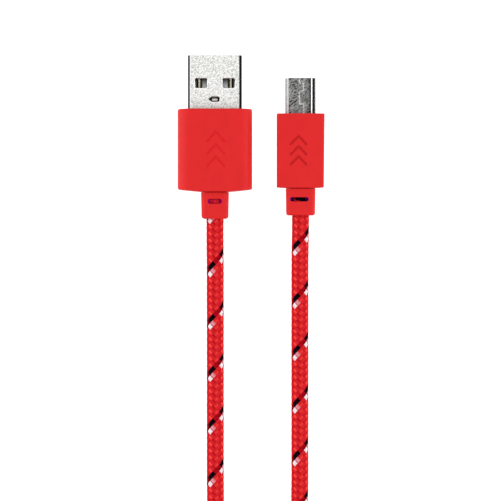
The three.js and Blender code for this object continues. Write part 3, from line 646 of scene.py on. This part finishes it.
def braid_mesh(path, length):
    """The braid's surface on a lattice that runs along its yarns, so that every yarn has its edges."""
    per_turn = CARRIERS // 2 * CELL_STEPS
    dashed = length - SMALL_DASH_FROM_END - WIDE_DASH_FROM_START
    pitch = dashed / round(dashed / BRAID_PITCH)
    row_step = pitch / (CARRIERS * CELL_STEPS)
    rows = int(length / row_step) + 1
    spacing = length / (len(path) - 1)
    tangents = np.gradient(path, axis=0)
    tangents /= np.linalg.norm(tangents, axis=1)[:, None]

    row, column = np.meshgrid(np.arange(rows), np.arange(per_turn), indexing="ij")
    a = column / CELL_STEPS
    b = (column + row) / CELL_STEPS
    place = row * row_step
    share = smoothstep(place / length, TWIST_FROM, TWIST_TO)
    twist = np.radians(WIDE_TWIST + (SMALL_TWIST - WIDE_TWIST) * share)
    angle = TAU * (a + b) / CARRIERS + twist

    height = np.zeros(a.shape)
    for shift_a in (-1e-6, 1e-6):
        for shift_b in (-1e-6, 1e-6):
            height = np.maximum(height, top_yarn(a + shift_a, b + shift_b)[1])
    random = np.random.default_rng(seed=7)
    strand = random.normal(0, YARN_UNEVENNESS, CARRIERS // 2)
    unevenness = strand[np.mod(np.floor(a), CARRIERS // 2).astype(int)]
    radius = BRAID_CORE_RADIUS + (YARN_RISE + unevenness) * height

    index = place / spacing
    low = np.clip(np.floor(index).astype(int), 0, len(path) - 2)
    part = (index - low)[..., None]
    centre = path[low] * (1 - part) + path[low + 1] * part
    ahead = tangents[low] * (1 - part) + tangents[low + 1] * part
    ahead /= np.linalg.norm(ahead, axis=-1, keepdims=True)
    up = np.array([0, 0, 1.0]) - ahead * ahead[..., 2:3]
    up /= np.linalg.norm(up, axis=-1, keepdims=True)
    side = np.cross(ahead, up)
    out = up * np.cos(angle)[..., None] + side * np.sin(angle)[..., None]
    vertices = (centre + out * radius[..., None]).reshape(-1, 3)

    face_row, face_column = np.meshgrid(
        np.arange(1, rows - 1), np.arange(per_turn), indexing="ij"
    )
    face_row, face_column = face_row.ravel(), face_column.ravel()
    following = (face_column + 1) % per_turn
    faces = np.stack([
        face_row * per_turn + face_column,
        (face_row - 1) * per_turn + following,
        face_row * per_turn + following,
        (face_row + 1) * per_turn + face_column,
    ], 1)

    mid_a = (face_column + 0.5) / CELL_STEPS
    mid_b = (face_column + face_row + 0.5) / CELL_STEPS
    on_top, _ = top_yarn(mid_a, mid_b)
    first_half = face_row * row_step < length / 2
    right_yarn = np.mod(np.floor(mid_a), CARRIERS // 2).astype(int)
    is_black = right_yarn == TRACER_YARN
    is_white = right_yarn == np.where(first_half, TRACER_YARN - 1, TRACER_YARN + 1)
    along = np.mod(np.floor(mid_a) + np.floor(mid_b), 4) + np.mod(mid_b, 1)
    from_tip = np.where(first_half, along, 2 - along)
    face_angle = angle[face_row, face_column]
    from_start = face_row * row_step
    in_wide_boot = from_start < WIDE_HIDDEN
    in_small_boot = from_start > length - SMALL_HIDDEN
    is_black &= ~in_wide_boot & ~in_small_boot
    is_white &= ~in_small_boot
    face_y = centre[face_row, face_column, 1]
    slant = SLOT_TRACER_SLANT * (face_y - SMALL_BOOT.slot_y)
    turned = np.degrees(face_angle) + SLOT_TRACER_ANGLE + slant
    from_slot_tracer = np.abs((turned + 180) % 360 - 180)
    shows_dark = in_small_boot & (from_slot_tracer < SLOT_TRACER_HALF_ANGLE)
    slots = np.zeros(len(faces), int)
    slots[~on_top] = BACK_YARN
    # Inside the boots the yarn takes its brighter copy: painted light in the slots.
    slots[in_wide_boot | in_small_boot] = INSIDE_YARN
    slots[is_black & ~on_top] = DEEP_YARN
    slots[is_black & on_top] = BLACK_YARN
    slots[shows_dark] = BLACK_YARN
    slots[is_white & on_top] = WHITE_YARN
    slots[is_white & on_top & (from_tip < 1)] = MAUVE_YARN
    slots[is_white & on_top & (from_tip < 2 / 3)] = PINK_YARN

    def zigzag(edge_row, next_row):
        """The ring of corners that closes one end of the lattice."""
        columns = np.arange(per_turn)
        after = (columns + 1) % per_turn
        pairs = np.stack([next_row * per_turn + columns, edge_row * per_turn + after], 1)
        return pairs.ravel().tolist()

    start_cap = zigzag(0, 1)[::-1]
    end_cap = zigzag(rows - 2, rows - 1)
    cord = piece_from(
        "braided_cord",
        vertices,
        faces.tolist() + [start_cap, end_cap],
        BRAID_SKINS,
        np.concatenate([slots, [0, 0]]),
    )

    corner_a = np.stack([face_column, face_column + 1, face_column + 1, face_column], 1)
    corner_b = np.stack([face_column + face_row] * 2 + [face_column + face_row + 1] * 2, 1)
    yarn_a, yarn_b = np.floor(mid_a)[:, None], np.floor(mid_b)[:, None]
    top = on_top[:, None]
    u = np.where(top, corner_a, corner_b) / CELL_STEPS
    v = np.where(top, yarn_a + corner_b / CELL_STEPS, yarn_b + corner_a / CELL_STEPS)
    v = np.where(first_half[:, None], v, -v)
    flat = np.concatenate([np.stack([u, v], 2).reshape(-1), np.zeros(4 * 2 * per_turn)])
    layer = cord.data.uv_layers.new(name="UVMap")
    layer.data.foreach_set("uv", flat.astype(np.float32))
    return cord


route = WIDE_CORD_ROUTE + coil_points() + SMALL_CORD_ROUTE[::-1]
cord_path, cord_length = smooth_path(route, 0.2)
cord = braid_mesh(cord_path, cord_length)
cord_solids = (
    "wide_cord_end", "cord_wide_run", "cord_coil", "cord_small_run", "small_cord_end",
)
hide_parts(*cord_solids)
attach(cord, "cable")

# ---- Housings ----


def upper_half(half_width, half_height, corner, dense_half_width):
    """The upper half of a rounded section, right to left, with close points over the mark."""
    flat = half_width - corner
    arc = np.radians(np.linspace(0, 90, 13))
    right = np.stack([
        flat + corner * np.cos(arc), half_height - corner + corner * np.sin(arc)
    ], 1)
    coarse = np.arange(-flat + PLAIN_GRID, flat - PLAIN_GRID / 2, PLAIN_GRID)
    dense = np.arange(-dense_half_width, dense_half_width + 0.01, MARK_GRID)
    places = np.concatenate([coarse[np.abs(coarse) > dense_half_width + 0.1], dense])
    places = np.sort(places)[::-1]
    middle = np.stack([places, np.full(len(places), half_height)], 1)
    left = right[::-1] * (-1, 1)
    foot = np.array([[half_width, 0.2]])
    return np.concatenate([foot, right, middle, left, foot * (-1, 1)])


def loop_normals(loop):
    """The outward normals of an outline's points."""
    tangent = np.roll(loop, -1, axis=0) - np.roll(loop, 1, axis=0)
    normal = np.stack([tangent[:, 1], -tangent[:, 0]], 1)
    return normal / np.linalg.norm(normal, axis=1)[:, None]


def mark_cover(x, y, plug):
    """How far into a stroke of the stacked arrowheads a point lies, 0 to 1."""
    cover = np.zeros(np.broadcast(x, y).shape)
    for k in range(MARK_COUNT):
        tip_y = plug.mark_y - k * plug.mark_step
        arm = np.array([plug.mark_half_width, -plug.mark_drop])
        dx, dy = np.abs(x - plug.mark_x), y - tip_y
        share = np.clip((dx * arm[0] + dy * arm[1]) / (arm @ arm), 0, 1)
        distance = np.hypot(dx - share * arm[0], dy - share * arm[1])
        edge = MARK_STROKE / 2
        inside = 1 - smoothstep(distance, edge - MARK_SOFTNESS, edge + MARK_SOFTNESS)
        cover = np.maximum(cover, inside)
    return cover


def edge_inset(radius, near):
    """How far a rounded end draws the section in, at this distance from the end."""
    return radius - math.sqrt(max(radius ** 2 - max(radius - near, 0) ** 2, 0))


def housing(name, plug, material):
    """A moulded grip: one section drawn along y, with rounded ends and an engraved mark."""
    dense = plug.mark_half_width + abs(plug.mark_x) + 0.4
    upper = upper_half(plug.half_width, plug.half_height, plug.side_round, dense)
    loop = np.concatenate([upper, upper[::-1] * (1, -1)])
    normals = loop_normals(loop)
    length = plug.front_y - plug.rear_y
    edge = plug.edge_round
    flatness = 1 - plug.crown * (loop[:, 0] / plug.half_width) ** 2
    end = edge * (1 - np.cos(np.radians(np.linspace(0, 90, 6))))
    mark_from = plug.front_y - plug.mark_y - 0.5
    mark_to = mark_from + MARK_COUNT * plug.mark_step + 0.8
    depths = np.concatenate([
        end,
        np.arange(edge + 0.4, mark_from, 0.5),
        np.arange(mark_from, mark_to, MARK_GRID),
        np.arange(mark_to + 0.3, length - edge - 0.2, 0.5),
        length - end[::-1],
    ])
    rings = []
    covers = []
    for depth in depths:
        inset = edge_inset(edge, min(depth, length - depth))
        share = depth / length
        narrow = 1 + (plug.half_rear_width / plug.half_width - 1) * share
        x = loop[:, 0] - normals[:, 0] * inset
        x = np.where(x > 0, x * narrow, x)
        z = (loop[:, 1] - normals[:, 1] * inset) * flatness
        reach = plug.half_width - plug.boot_half_width
        past_boot = np.clip((np.abs(loop[:, 0]) - plug.boot_half_width) / reach, 0, 1)
        rear_y = plug.rear_y + (plug.side_rear_y - plug.rear_y) * past_boot
        y = plug.front_y + (rear_y - plug.front_y) * share
        cover = mark_cover(x, y, plug) * (z > 0)
        z = z - plug.mark_depth * cover
        rings.append(np.stack([plug.x + x, y, plug.z + z], 1))
        covers.append(cover)
    faces = ring_faces(len(rings), len(loop)) + strip_caps(len(rings), len(loop))
    made = outward(piece_from(name, np.concatenate(rings), faces, [material]))
    groove = made.data.attributes.new("groove", "FLOAT", "POINT")
    groove.data.foreach_set("value", np.concatenate(covers).astype(np.float32))
    smooth_by_angle(made, 50)
    return made


def boot(name, plug, skin, slot_skin):
    """A strain relief: a short tapered sleeve with a slot above and below that shows the cord."""
    half_x, half_z = plug.half_front, plug.half_height
    section = np.array(rounded_outline(0, 0, half_x, half_z, plug.round, steps=9))
    normals = loop_normals(section)
    front, rear = 0.15, plug.rear_round
    length = plug.front_y - plug.rear_y
    quarter = 1 - np.cos(np.radians(np.linspace(0, 90, 8)))
    between_ends = np.linspace(0.6, length - 1, 9)
    depths = np.concatenate([front * quarter, between_ends, length - rear * quarter[::-1]])
    rings = []
    for depth in depths:
        inset = edge_inset(front if depth < length / 2 else rear, min(depth, length - depth))
        narrow = 1 + (plug.half_rear / plug.half_front - 1) * depth / length
        out = section - normals * inset * (1.0, 0.6)
        y = np.full(len(section), plug.front_y - depth)
        rings.append(np.stack([plug.x + out[:, 0] * narrow, y, plug.z + out[:, 1]], 1))
    made = loft(name, rings, [skin])

    def slot_outline(offset):
        half_y = plug.slot_half_width + min(offset, 0) * 0.4
        half_x = plug.slot_half_length + offset
        centre_x = plug.x + plug.slot_x
        return rounded_outline(centre_x, plug.slot_y, half_x, half_y, half_y - 0.001)

    levels = ((SLOT_DEEP_Z, -SLOT_TAPER), (half_z - 0.1, 0), (half_z + 0.5, 0))
    upper = [(plug.z + height, offset) for height, offset in levels]
    lower = [(plug.z - height, offset) for height, offset in levels[::-1]]
    cut(made, punch("slot", slot_outline, upper, slot_skin))
    cut(made, punch("slot", slot_outline, lower, slot_skin))
    made.data.materials.append(slot_wall_shade)

    # The slot's long walls and floor take the darker red: painted shade in the slot.
    def choose(_centre, normal, current):
        return BOOT_SLOT_SHADE if current == BOOT_CUT and abs(normal.x) < 0.3 else None

    paint_faces(made, choose)
    smooth_by_angle(made, 40)
    return made


wide_grip = housing("wide_grip", WIDE_HOUSING, red_plastic)
small_grip = housing("small_grip", SMALL_HOUSING, red_plastic_small)
wide_boot = boot("wide_boot", WIDE_BOOT, boot_plastic, slot_plastic)
small_boot = boot("small_boot", SMALL_BOOT, boot_plastic, slot_plastic_small)

# ---- Metal shells ----


def rolled_lip(outer, inner, tip_y, lip, steps):
    """Rings from a shell's outer skin over its front edge to its inner skin."""
    rings = []
    for angle in np.radians(np.linspace(0, 180, steps)):
        share = (1 + math.cos(angle)) / 2
        y = tip_y - lip * (1 - math.sin(angle))
        rings.append(np.insert(inner + (outer - inner) * share, 1, y, axis=1))
    return rings


def wide_metal_shell():
    """The wide plug's shell, with windows above and below, and the lock hole above."""
    outer, inner = (
        np.array(rounded_outline(
            WIDE_X, WIDE_Z, SHELL_HALF_WIDTH, SHELL_HALF_HEIGHT, SHELL_ROUND, offset, steps=13
        ))
        for offset in (0, -SHELL_WALL)
    )
    rings = [np.insert(skin, 1, SHELL_REAR_Y, axis=1) for skin in (inner, outer)]
    rings += rolled_lip(outer, inner, SHELL_TIP_Y, SHELL_LIP, 9)
    made = loft("wide_metal", rings, SHELL_SKINS, closed=True)
    top = WIDE_Z + SHELL_HALF_HEIGHT
    bottom = WIDE_Z - SHELL_HALF_HEIGHT
    # The cutters give the holes chamfered rims in the brighter rim steel: a painted highlight.
    downward = ((top - 0.6, 0), (top - 0.1, 0), (top, WINDOW_RIM), (top + 0.3, WINDOW_RIM))
    upward = ((bottom - 0.3, 0.1), (bottom, 0.1), (bottom + 0.1, 0), (bottom + 0.6, 0))
    for side in (-1, 1):
        def window(offset, side=side):
            return rounded_outline(
                WIDE_X + side * WINDOW_X, WINDOW_Y - 0.6 * offset,
                WINDOW_HALF_WIDTH - 0.4 * offset, WINDOW_HALF_LENGTH, WINDOW_CORNER, offset,
            )
        cut(made, punch("window", window, downward, rim_highlight_steel))
        cut(made, punch("window", window, upward, rim_highlight_steel))

    def lock_hole(offset):
        """A pointed left end and a round right end, with flat edges between them."""
        rear, front = LOCK_REAR_Y - offset, LOCK_FRONT_Y + 0.3 * offset
        middle, half = (rear + front) / 2, (front - rear) / 2
        points = [(LOCK_TIP_X - 0.4 * offset, middle), (LOCK_LEFT_X, rear)]
        for angle in np.radians(np.linspace(-90, 90, 9)):
            reach = LOCK_END + 0.4 * offset
            points.append((LOCK_RIGHT_X + reach * math.cos(angle), middle + half * math.sin(angle)))
        points.append((LOCK_LEFT_X, front))
        return [(WIDE_X + x, y) for x, y in points]

    cut(made, punch("lock_hole", lock_hole, downward, rim_highlight_steel))

    flat_half_width = SHELL_HALF_WIDTH - SHELL_ROUND

    # Painted light on the steel: near-black bands along both edges are painted dark reflections, a
    # light strip just inside the left band is a painted highlight, and the sides below the round
    # corners take a darker steel.
    def choose(centre, normal, current):
        if current == SHELL_RIM:
            return None
        across = centre.x - WIDE_X
        if abs(across) > flat_half_width and normal.z < 0.35:
            return SHELL_FLANK
        if across > SHELL_RIGHT_EDGE or across < SHELL_LEFT_EDGE:
            return SHELL_PAINTED_DARK
        if across < -flat_half_width and normal.z > 0.5:
            return SHELL_PAINTED_HIGHLIGHT
        return None

    paint_faces(made, choose)
    smooth_by_angle(made, 30)
    return made


def lock_tab():
    """The spring tongue behind the lock hole, bent down into the plug."""
    left, right = WIDE_X + LOCK_LEFT_X + 0.06, WIDE_X + LOCK_RIGHT_X
    bevel = LOCK_TAB_BEVEL
    top = WIDE_Z + SHELL_HALF_HEIGHT
    rings = []
    for x, pinch in ((left, bevel), (left + 0.06, 0), (right - 0.06, 0), (right, bevel)):
        upper = [(x, y, top + z - pinch) for y, z in LOCK_TAB_PROFILE]
        lower = [(x, y, top + z - LOCK_TAB_THICK + pinch) for y, z in LOCK_TAB_PROFILE[::-1]]
        rings.append(upper + lower)
    made = loft("lock_tab", rings, TAB_SKINS)

    # Painted light along the tab: near-black painted shade at its root, a painted highlight across its
    # middle, painted shade towards its tip.
    def choose(centre, _normal, _current):
        if centre.y < LOCK_TAB_DARK_Y:
            return TAB_DARK
        return TAB_LIGHT if centre.y < LOCK_TAB_LIGHT_Y else None

    paint_faces(made, choose)
    smooth_by_angle(made, 40)
    return made


def small_outline():
    """The small plug's section, wide side down, with folded corners, in (x, z)."""
    corners = SMALL_SHELL_CORNERS
    points = []
    for k, (x, z, radius) in enumerate(corners):
        before = np.array(corners[k - 1][:2]) - (x, z)
        after = np.array(corners[(k + 1) % len(corners)][:2]) - (x, z)
        before, after = before / np.linalg.norm(before), after / np.linalg.norm(after)
        half = math.acos(np.clip(before @ after, -1, 1)) / 2
        middle = (before + after) / np.linalg.norm(before + after)
        centre = np.array([x, z]) + middle * radius / math.sin(half)
        start = np.array([x, z]) + before * radius / math.tan(half) - centre
        stop = np.array([x, z]) + after * radius / math.tan(half) - centre
        a0, a1 = math.atan2(start[1], start[0]), math.atan2(stop[1], stop[0])
        turn = (a1 - a0 + math.pi) % TAU - math.pi
        for share in np.linspace(0, 1, 9):
            angle = a0 + turn * share
            points.append(centre + radius * np.array([math.cos(angle), math.sin(angle)]))
    return np.array(points)


def divided(loop, longest):
    """The same closed outline, with points added where they are far apart."""
    points = []
    for k, point in enumerate(loop):
        after = loop[(k + 1) % len(loop)]
        parts = max(1, math.ceil(np.linalg.norm(after - point) / longest))
        points += [point + (after - point) * j / parts for j in range(parts)]
    return np.array(points)


def seam_distance(x, y):
    """How far a point on the narrow face is from the folded sheet's jogged joint."""
    tab_x = SEAM_X + SEAM_TAB
    aside, back, aside_again = SEAM_TAB_Y
    edges = [(SEAM_X, SMALL_SHELL_TIP_Y), (SEAM_X, aside), (tab_x, aside), (tab_x, back)]
    edges += [(SEAM_X, back), (SEAM_X, aside_again), (tab_x, aside_again), (tab_x, SEAM_END_Y)]
    nearest = np.full(np.broadcast(x, y).shape, 99.0)
    for (x0, y0), (x1, y1) in zip(edges, edges[1:]):
        span = math.hypot(x1 - x0, y1 - y0)
        share = np.clip(((x - x0) * (x1 - x0) + (y - y0) * (y1 - y0)) / span ** 2, 0, 1)
        away = np.hypot(x - x0 - share * (x1 - x0), y - y0 - share * (y1 - y0))
        nearest = np.minimum(nearest, away)
    return nearest


def small_metal_shell():
    """The small plug's folded shell, with close rows so that its joint can be pressed in."""
    outer = divided(small_outline(), SMALL_SHELL_GRID)
    normals = loop_normals(outer)
    inner = outer - normals * SMALL_SHELL_WALL
    visible_rows = np.arange(5.1, SMALL_SHELL_TIP_Y - 0.1, SMALL_SHELL_GRID)
    rows = np.concatenate([[SMALL_SHELL_REAR_Y, 4.6], visible_rows])
    rings = [np.insert(inner, 1, SMALL_SHELL_REAR_Y, axis=1)]
    for y in rows:
        ring = np.insert(outer, 1, y, axis=1)
        on_top = (ring[:, 2] > SMALL_SHELL_TOP - 0.025) & (y > SEAM_START_Y)
        gap = smoothstep(seam_distance(ring[:, 0], y), 0.02, SEAM_HALF_WIDTH)
        ring[:, 2] -= np.where(on_top, SEAM_DEPTH * (1 - gap), 0)
        rings.append(ring)
    rings += rolled_lip(outer, inner, SMALL_SHELL_TIP_Y, SMALL_SHELL_LIP, 7)
    placed = [ring + (SMALL_X, 0, SMALL_Z) for ring in rings]
    made = loft("small_metal", placed, SMALL_SKINS, closed=True)

    def choose(centre, normal, _current):
        across = centre.x - SMALL_X
        on_top = normal.z > 0.6 and centre.y > SEAM_START_Y
        if on_top and seam_distance(across, centre.y) < SEAM_HALF_WIDTH:
            return SEAM
        if centre.z < SMALL_Z - 0.3 or abs(normal.x) > 0.85:
            return FLANK if abs(across) > 3.0 else None
        # The top takes its strips of painted highlight, painted shade and painted dark reflection.
        return next((slot for limit, slot in SMALL_STRIPS if across < limit), LIGHT)

    paint_faces(made, choose)
    for side in (-1, 1):
        def hook_window(offset, side=side):
            return rounded_outline(
                SMALL_X + side * HOOK_X, HOOK_Y,
                HOOK_HALF_WIDTH, HOOK_HALF_LENGTH, HOOK_CORNER, offset,
            )
        below = SMALL_Z - SMALL_SHELL_TOP
        levels = ((below - 0.3, 0), (below + 0.4, 0))
        cut(made, punch("hook_window", hook_window, levels, seam_steel))
    smooth_by_angle(made, 30)
    return made


def contact_blade(node_name):
    """A contact with a narrow crest, painted as a highlight, and near-black sides, painted as dark
    reflection, in place of the plain bar.
    """
    low, high = np.array(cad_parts[node_name].bound_box)[[0, 6]] / MM
    middle = (low[0] + high[0]) / 2
    half = (high[0] - low[0]) / 2
    shoulder = high[2] - CREST_BEVEL
    section = [
        (middle - half, low[2]), (middle + half, low[2]), (middle + half, shoulder),
        (middle + CREST_HALF_WIDTH, high[2]), (middle - CREST_HALF_WIDTH, high[2]),
        (middle - half, shoulder),
    ]
    places = (low[1], CREST_REAR_Y, high[1] - 0.1, high[1])
    rings = [[(x, y, z) for x, z in section] for y in places]
    rings[3] = [(x, y, min(z, high[2] - 0.06)) for x, y, z in rings[3]]
    made = loft(node_name + "_blade", rings, [contact_dark, contact_highlight], smooth=False)

    # The crest's top is a painted highlight; the rest keeps the near-black painted reflection.
    def choose(centre, normal, _current):
        return int(normal.z > 0.97 and centre.y > CREST_REAR_Y)

    paint_faces(made, choose)
    return made


wide_metal = wide_metal_shell()
wide_lock_tab = lock_tab()
small_metal = small_metal_shell()

# ---- Strap round the coil ----


def strap_point(turned, lift):
    """A place `lift` outside the strap's middle line, after so many degrees, in (y, z)."""
    angle = math.radians(STRAP_START - turned)
    between_cords = 0.1 * (1 - math.cos(6 * angle))
    lap = STRAP_LAP_RISE * smoothstep(turned, STRAP_LAP_FROM, STRAP_LAP_TO)
    over_cords = COIL_TURN_OFFSET + (CORD_DIAMETER + TIE_THICK) / 2 + 0.02
    radius = over_cords - between_cords + lap + lift
    middle_y = COIL_Y - COIL_MEAN_RADIUS
    middle_z = TIE_LIFT + CORD_DIAMETER / 2 + COIL_TURN_OFFSET
    return middle_y + radius * math.cos(angle), middle_z + radius * math.sin(angle)


def strap_thickness(turned):
    """The strap's thickness after so many degrees: the layer on the outside is thinner."""
    return TIE_THICK * (1 - STRAP_LAP_THINNER * smoothstep(turned, STRAP_LAP_FROM, STRAP_LAP_TO))


def stitch_points(middle, turned):
    """One stitch: four rings of four points, from where it comes out of the strap to its end."""
    half, deep = STITCH_HALF_WIDTH, STITCH_HEIGHT
    surface = strap_thickness(turned) / 2
    points = []
    for along, rise in (
        (0, 0), (STITCH_SLOPE, deep), (STITCH_LENGTH - STITCH_SLOPE, deep), (STITCH_LENGTH, 0)
    ):
        section = ((-half, -deep), (half, -deep), (half - 0.04, rise), (0.04 - half, rise))
        for across, lift in section:
            points.append((middle + across, *strap_point(turned + along, surface + lift)))
    return points


def strap():
    """A hook-and-loop strap, wound once round the bundle with its end laid over itself."""
    rings = []
    for turned in np.linspace(0, STRAP_SWEEP, 101):
        full = smoothstep(STRAP_SWEEP - turned, 0, STRAP_TIP_TAPER)
        wide = TIE_WIDTH / 2 * (STRAP_TIP_WIDTH + (1 - STRAP_TIP_WIDTH) * full)
        thick = strap_thickness(turned)
        section = rounded_outline(0, 0, wide, thick / 2, thick / 2 - 0.02, steps=4)
        rings.append([(COIL_X + across, *strap_point(turned, deep)) for across, deep in section])
    around = len(rings[0])
    faces = ring_faces(len(rings), around) + end_caps(len(rings), around)
    slots = [0] * len(faces)
    points = [point for ring in rings for point in ring]
    for side in (-1, 1):
        middle = COIL_X + side * (TIE_WIDTH / 2 - STITCH_INSET)
        for turned in np.arange(STITCH_FROM, STITCH_TO, STITCH_PITCH):
            base = len(points)
            points += stitch_points(middle, turned)
            stitch = ring_faces(4, 4) + end_caps(4, 4)
            faces += [tuple(base + corner for corner in face) for face in stitch]
            slots += [STITCH] * len(stitch)
    skins = [strap_cloth, stitch_thread]
    made = outward(piece_from("coil_strap", points, faces, skins, slots))
    smooth_by_angle(made, 60)
    return made


coil_strap = strap()

REPLACED = (
    (wide_grip, "wide_housing", "red_plastic"),
    (small_grip, "small_housing", "red_plastic"),
    (wide_boot, "wide_strain_relief", "red_plastic"),
    (small_boot, "small_strain_relief", "red_plastic"),
    (wide_metal, "wide_shell", "bright_steel"),
    (small_metal, "small_shell", "dark_steel"),
    (coil_strap, "cable_tie", "tie_cloth"),
)
for piece, node, slot in REPLACED:
    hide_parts(node)
    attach(piece, "cable")
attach(wide_lock_tab, "cable")
for wire in ("power", "data_minus", "data_plus", "ground"):
    blade = contact_blade("wide_contact_" + wire)
    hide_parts("wide_contact_" + wire)
    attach(blade, "cable")

# ---- CAD nodes that keep their shape ----


def node_material(name):
    """The material for a node's kind of piece, or None for one that gets its own mesh."""
    if "wire" in name:
        return wire_skins[name.split("wire_")[1]]
    if name == "wide_insulator":
        return tongue_painted_skin
    kinds = {
        "contact": gold_plate, "latch": latch_steel, "rear_shield": shield_steel,
        "insulator": black_plastic, "inner_mould": clear_mould,
    }
    return next((material for kind, material in kinds.items() if kind in name), None)


for node_name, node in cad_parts.items():
    material = node_material(node_name)
    if material:
        node.data.materials.clear()
        node.data.materials.append(material)

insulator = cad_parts["wide_insulator"]
insulator.data.materials.append(groove_shade_plastic)
# The contact grooves are painted near black: painted shade in the grooves.
groove_inner, groove_outer, groove_rear_y = 2.7, 4.6, 6.1
for face in insulator.data.polygons:
    across = abs(face.center.x / MM - WIDE_X)
    if groove_inner < across < groove_outer and face.center.y / MM > groove_rear_y:
        face.material_index = 1

# ---- Floor, light and camera ----


def make_floor():
    """Pale paper that lights itself evenly, a little below the cord."""
    half, height = 20000, -0.05
    corners = [(x * half, y * half, height) for x, y in ((-1, -1), (1, -1), (1, 1), (-1, 1))]
    look = Shading("floor_paper", Roughness=1.0, Specular_IOR_Level=0.0)
    look.drive(Base_Color=(0, 0, 0), Emission_Color=(1, 1, 1), Emission_Strength=1.3)
    piece_from("floor", corners, [(0, 1, 2, 3)], [look.material], smooth=False)


def make_sky():
    """A soft studio: bright overhead, dimmer all round, with a broad softbox at either side."""
    world = bpy.data.worlds.new("studio")
    world.use_nodes = True
    bpy.context.scene.world = world
    sky = NodeTree(world.node_tree)
    background = sky.tree.nodes["Background"]
    parts = sky.axes(sky.node("ShaderNodeTexCoord").outputs["Generated"])
    height, across = parts["Z"], sky.math("ABSOLUTE", parts["X"])
    room = sky.ramp(height, 0.6, 0.85, 0.72, 1.38)
    wide = sky.ramp(across, 0.78, 0.9, 0.0, 2.6)
    boxes = sky.math("MULTIPLY", wide, sky.ramp(height, 0.0, 0.06, 0.2, 1.0))
    light = sky.math("ADD", room, boxes)
    seen = sky.node("ShaderNodeLightPath").outputs["Is Camera Ray"]
    shown = sky.node("ShaderNodeMix", {0: seen, 2: light, 3: 1.0}, data_type="FLOAT").outputs[0]
    sky.feed(background.inputs["Color"], (1, 1, 1))
    sky.feed(background.inputs["Strength"], shown)


def make_camera():
    """A long lens straight above, with the photographed stretch of the cable in its view."""
    lens, sensor = 200, 36
    view_width, view_x, view_y, view_z = 111.6, -0.13, -25.2, 4
    distance = view_width * lens / sensor
    data = bpy.data.cameras.new("camera")
    data.lens = lens
    data.sensor_width = sensor
    data.clip_start = 0.01
    data.clip_end = 100
    camera = bpy.data.objects.new("camera", data)
    camera.location = Vector((view_x, view_y, view_z + distance)) * MM
    bpy.context.scene.collection.objects.link(camera)
    bpy.context.scene.camera = camera


make_floor()
make_sky()
make_camera()
bpy.context.scene.view_settings.view_transform = "Standard"
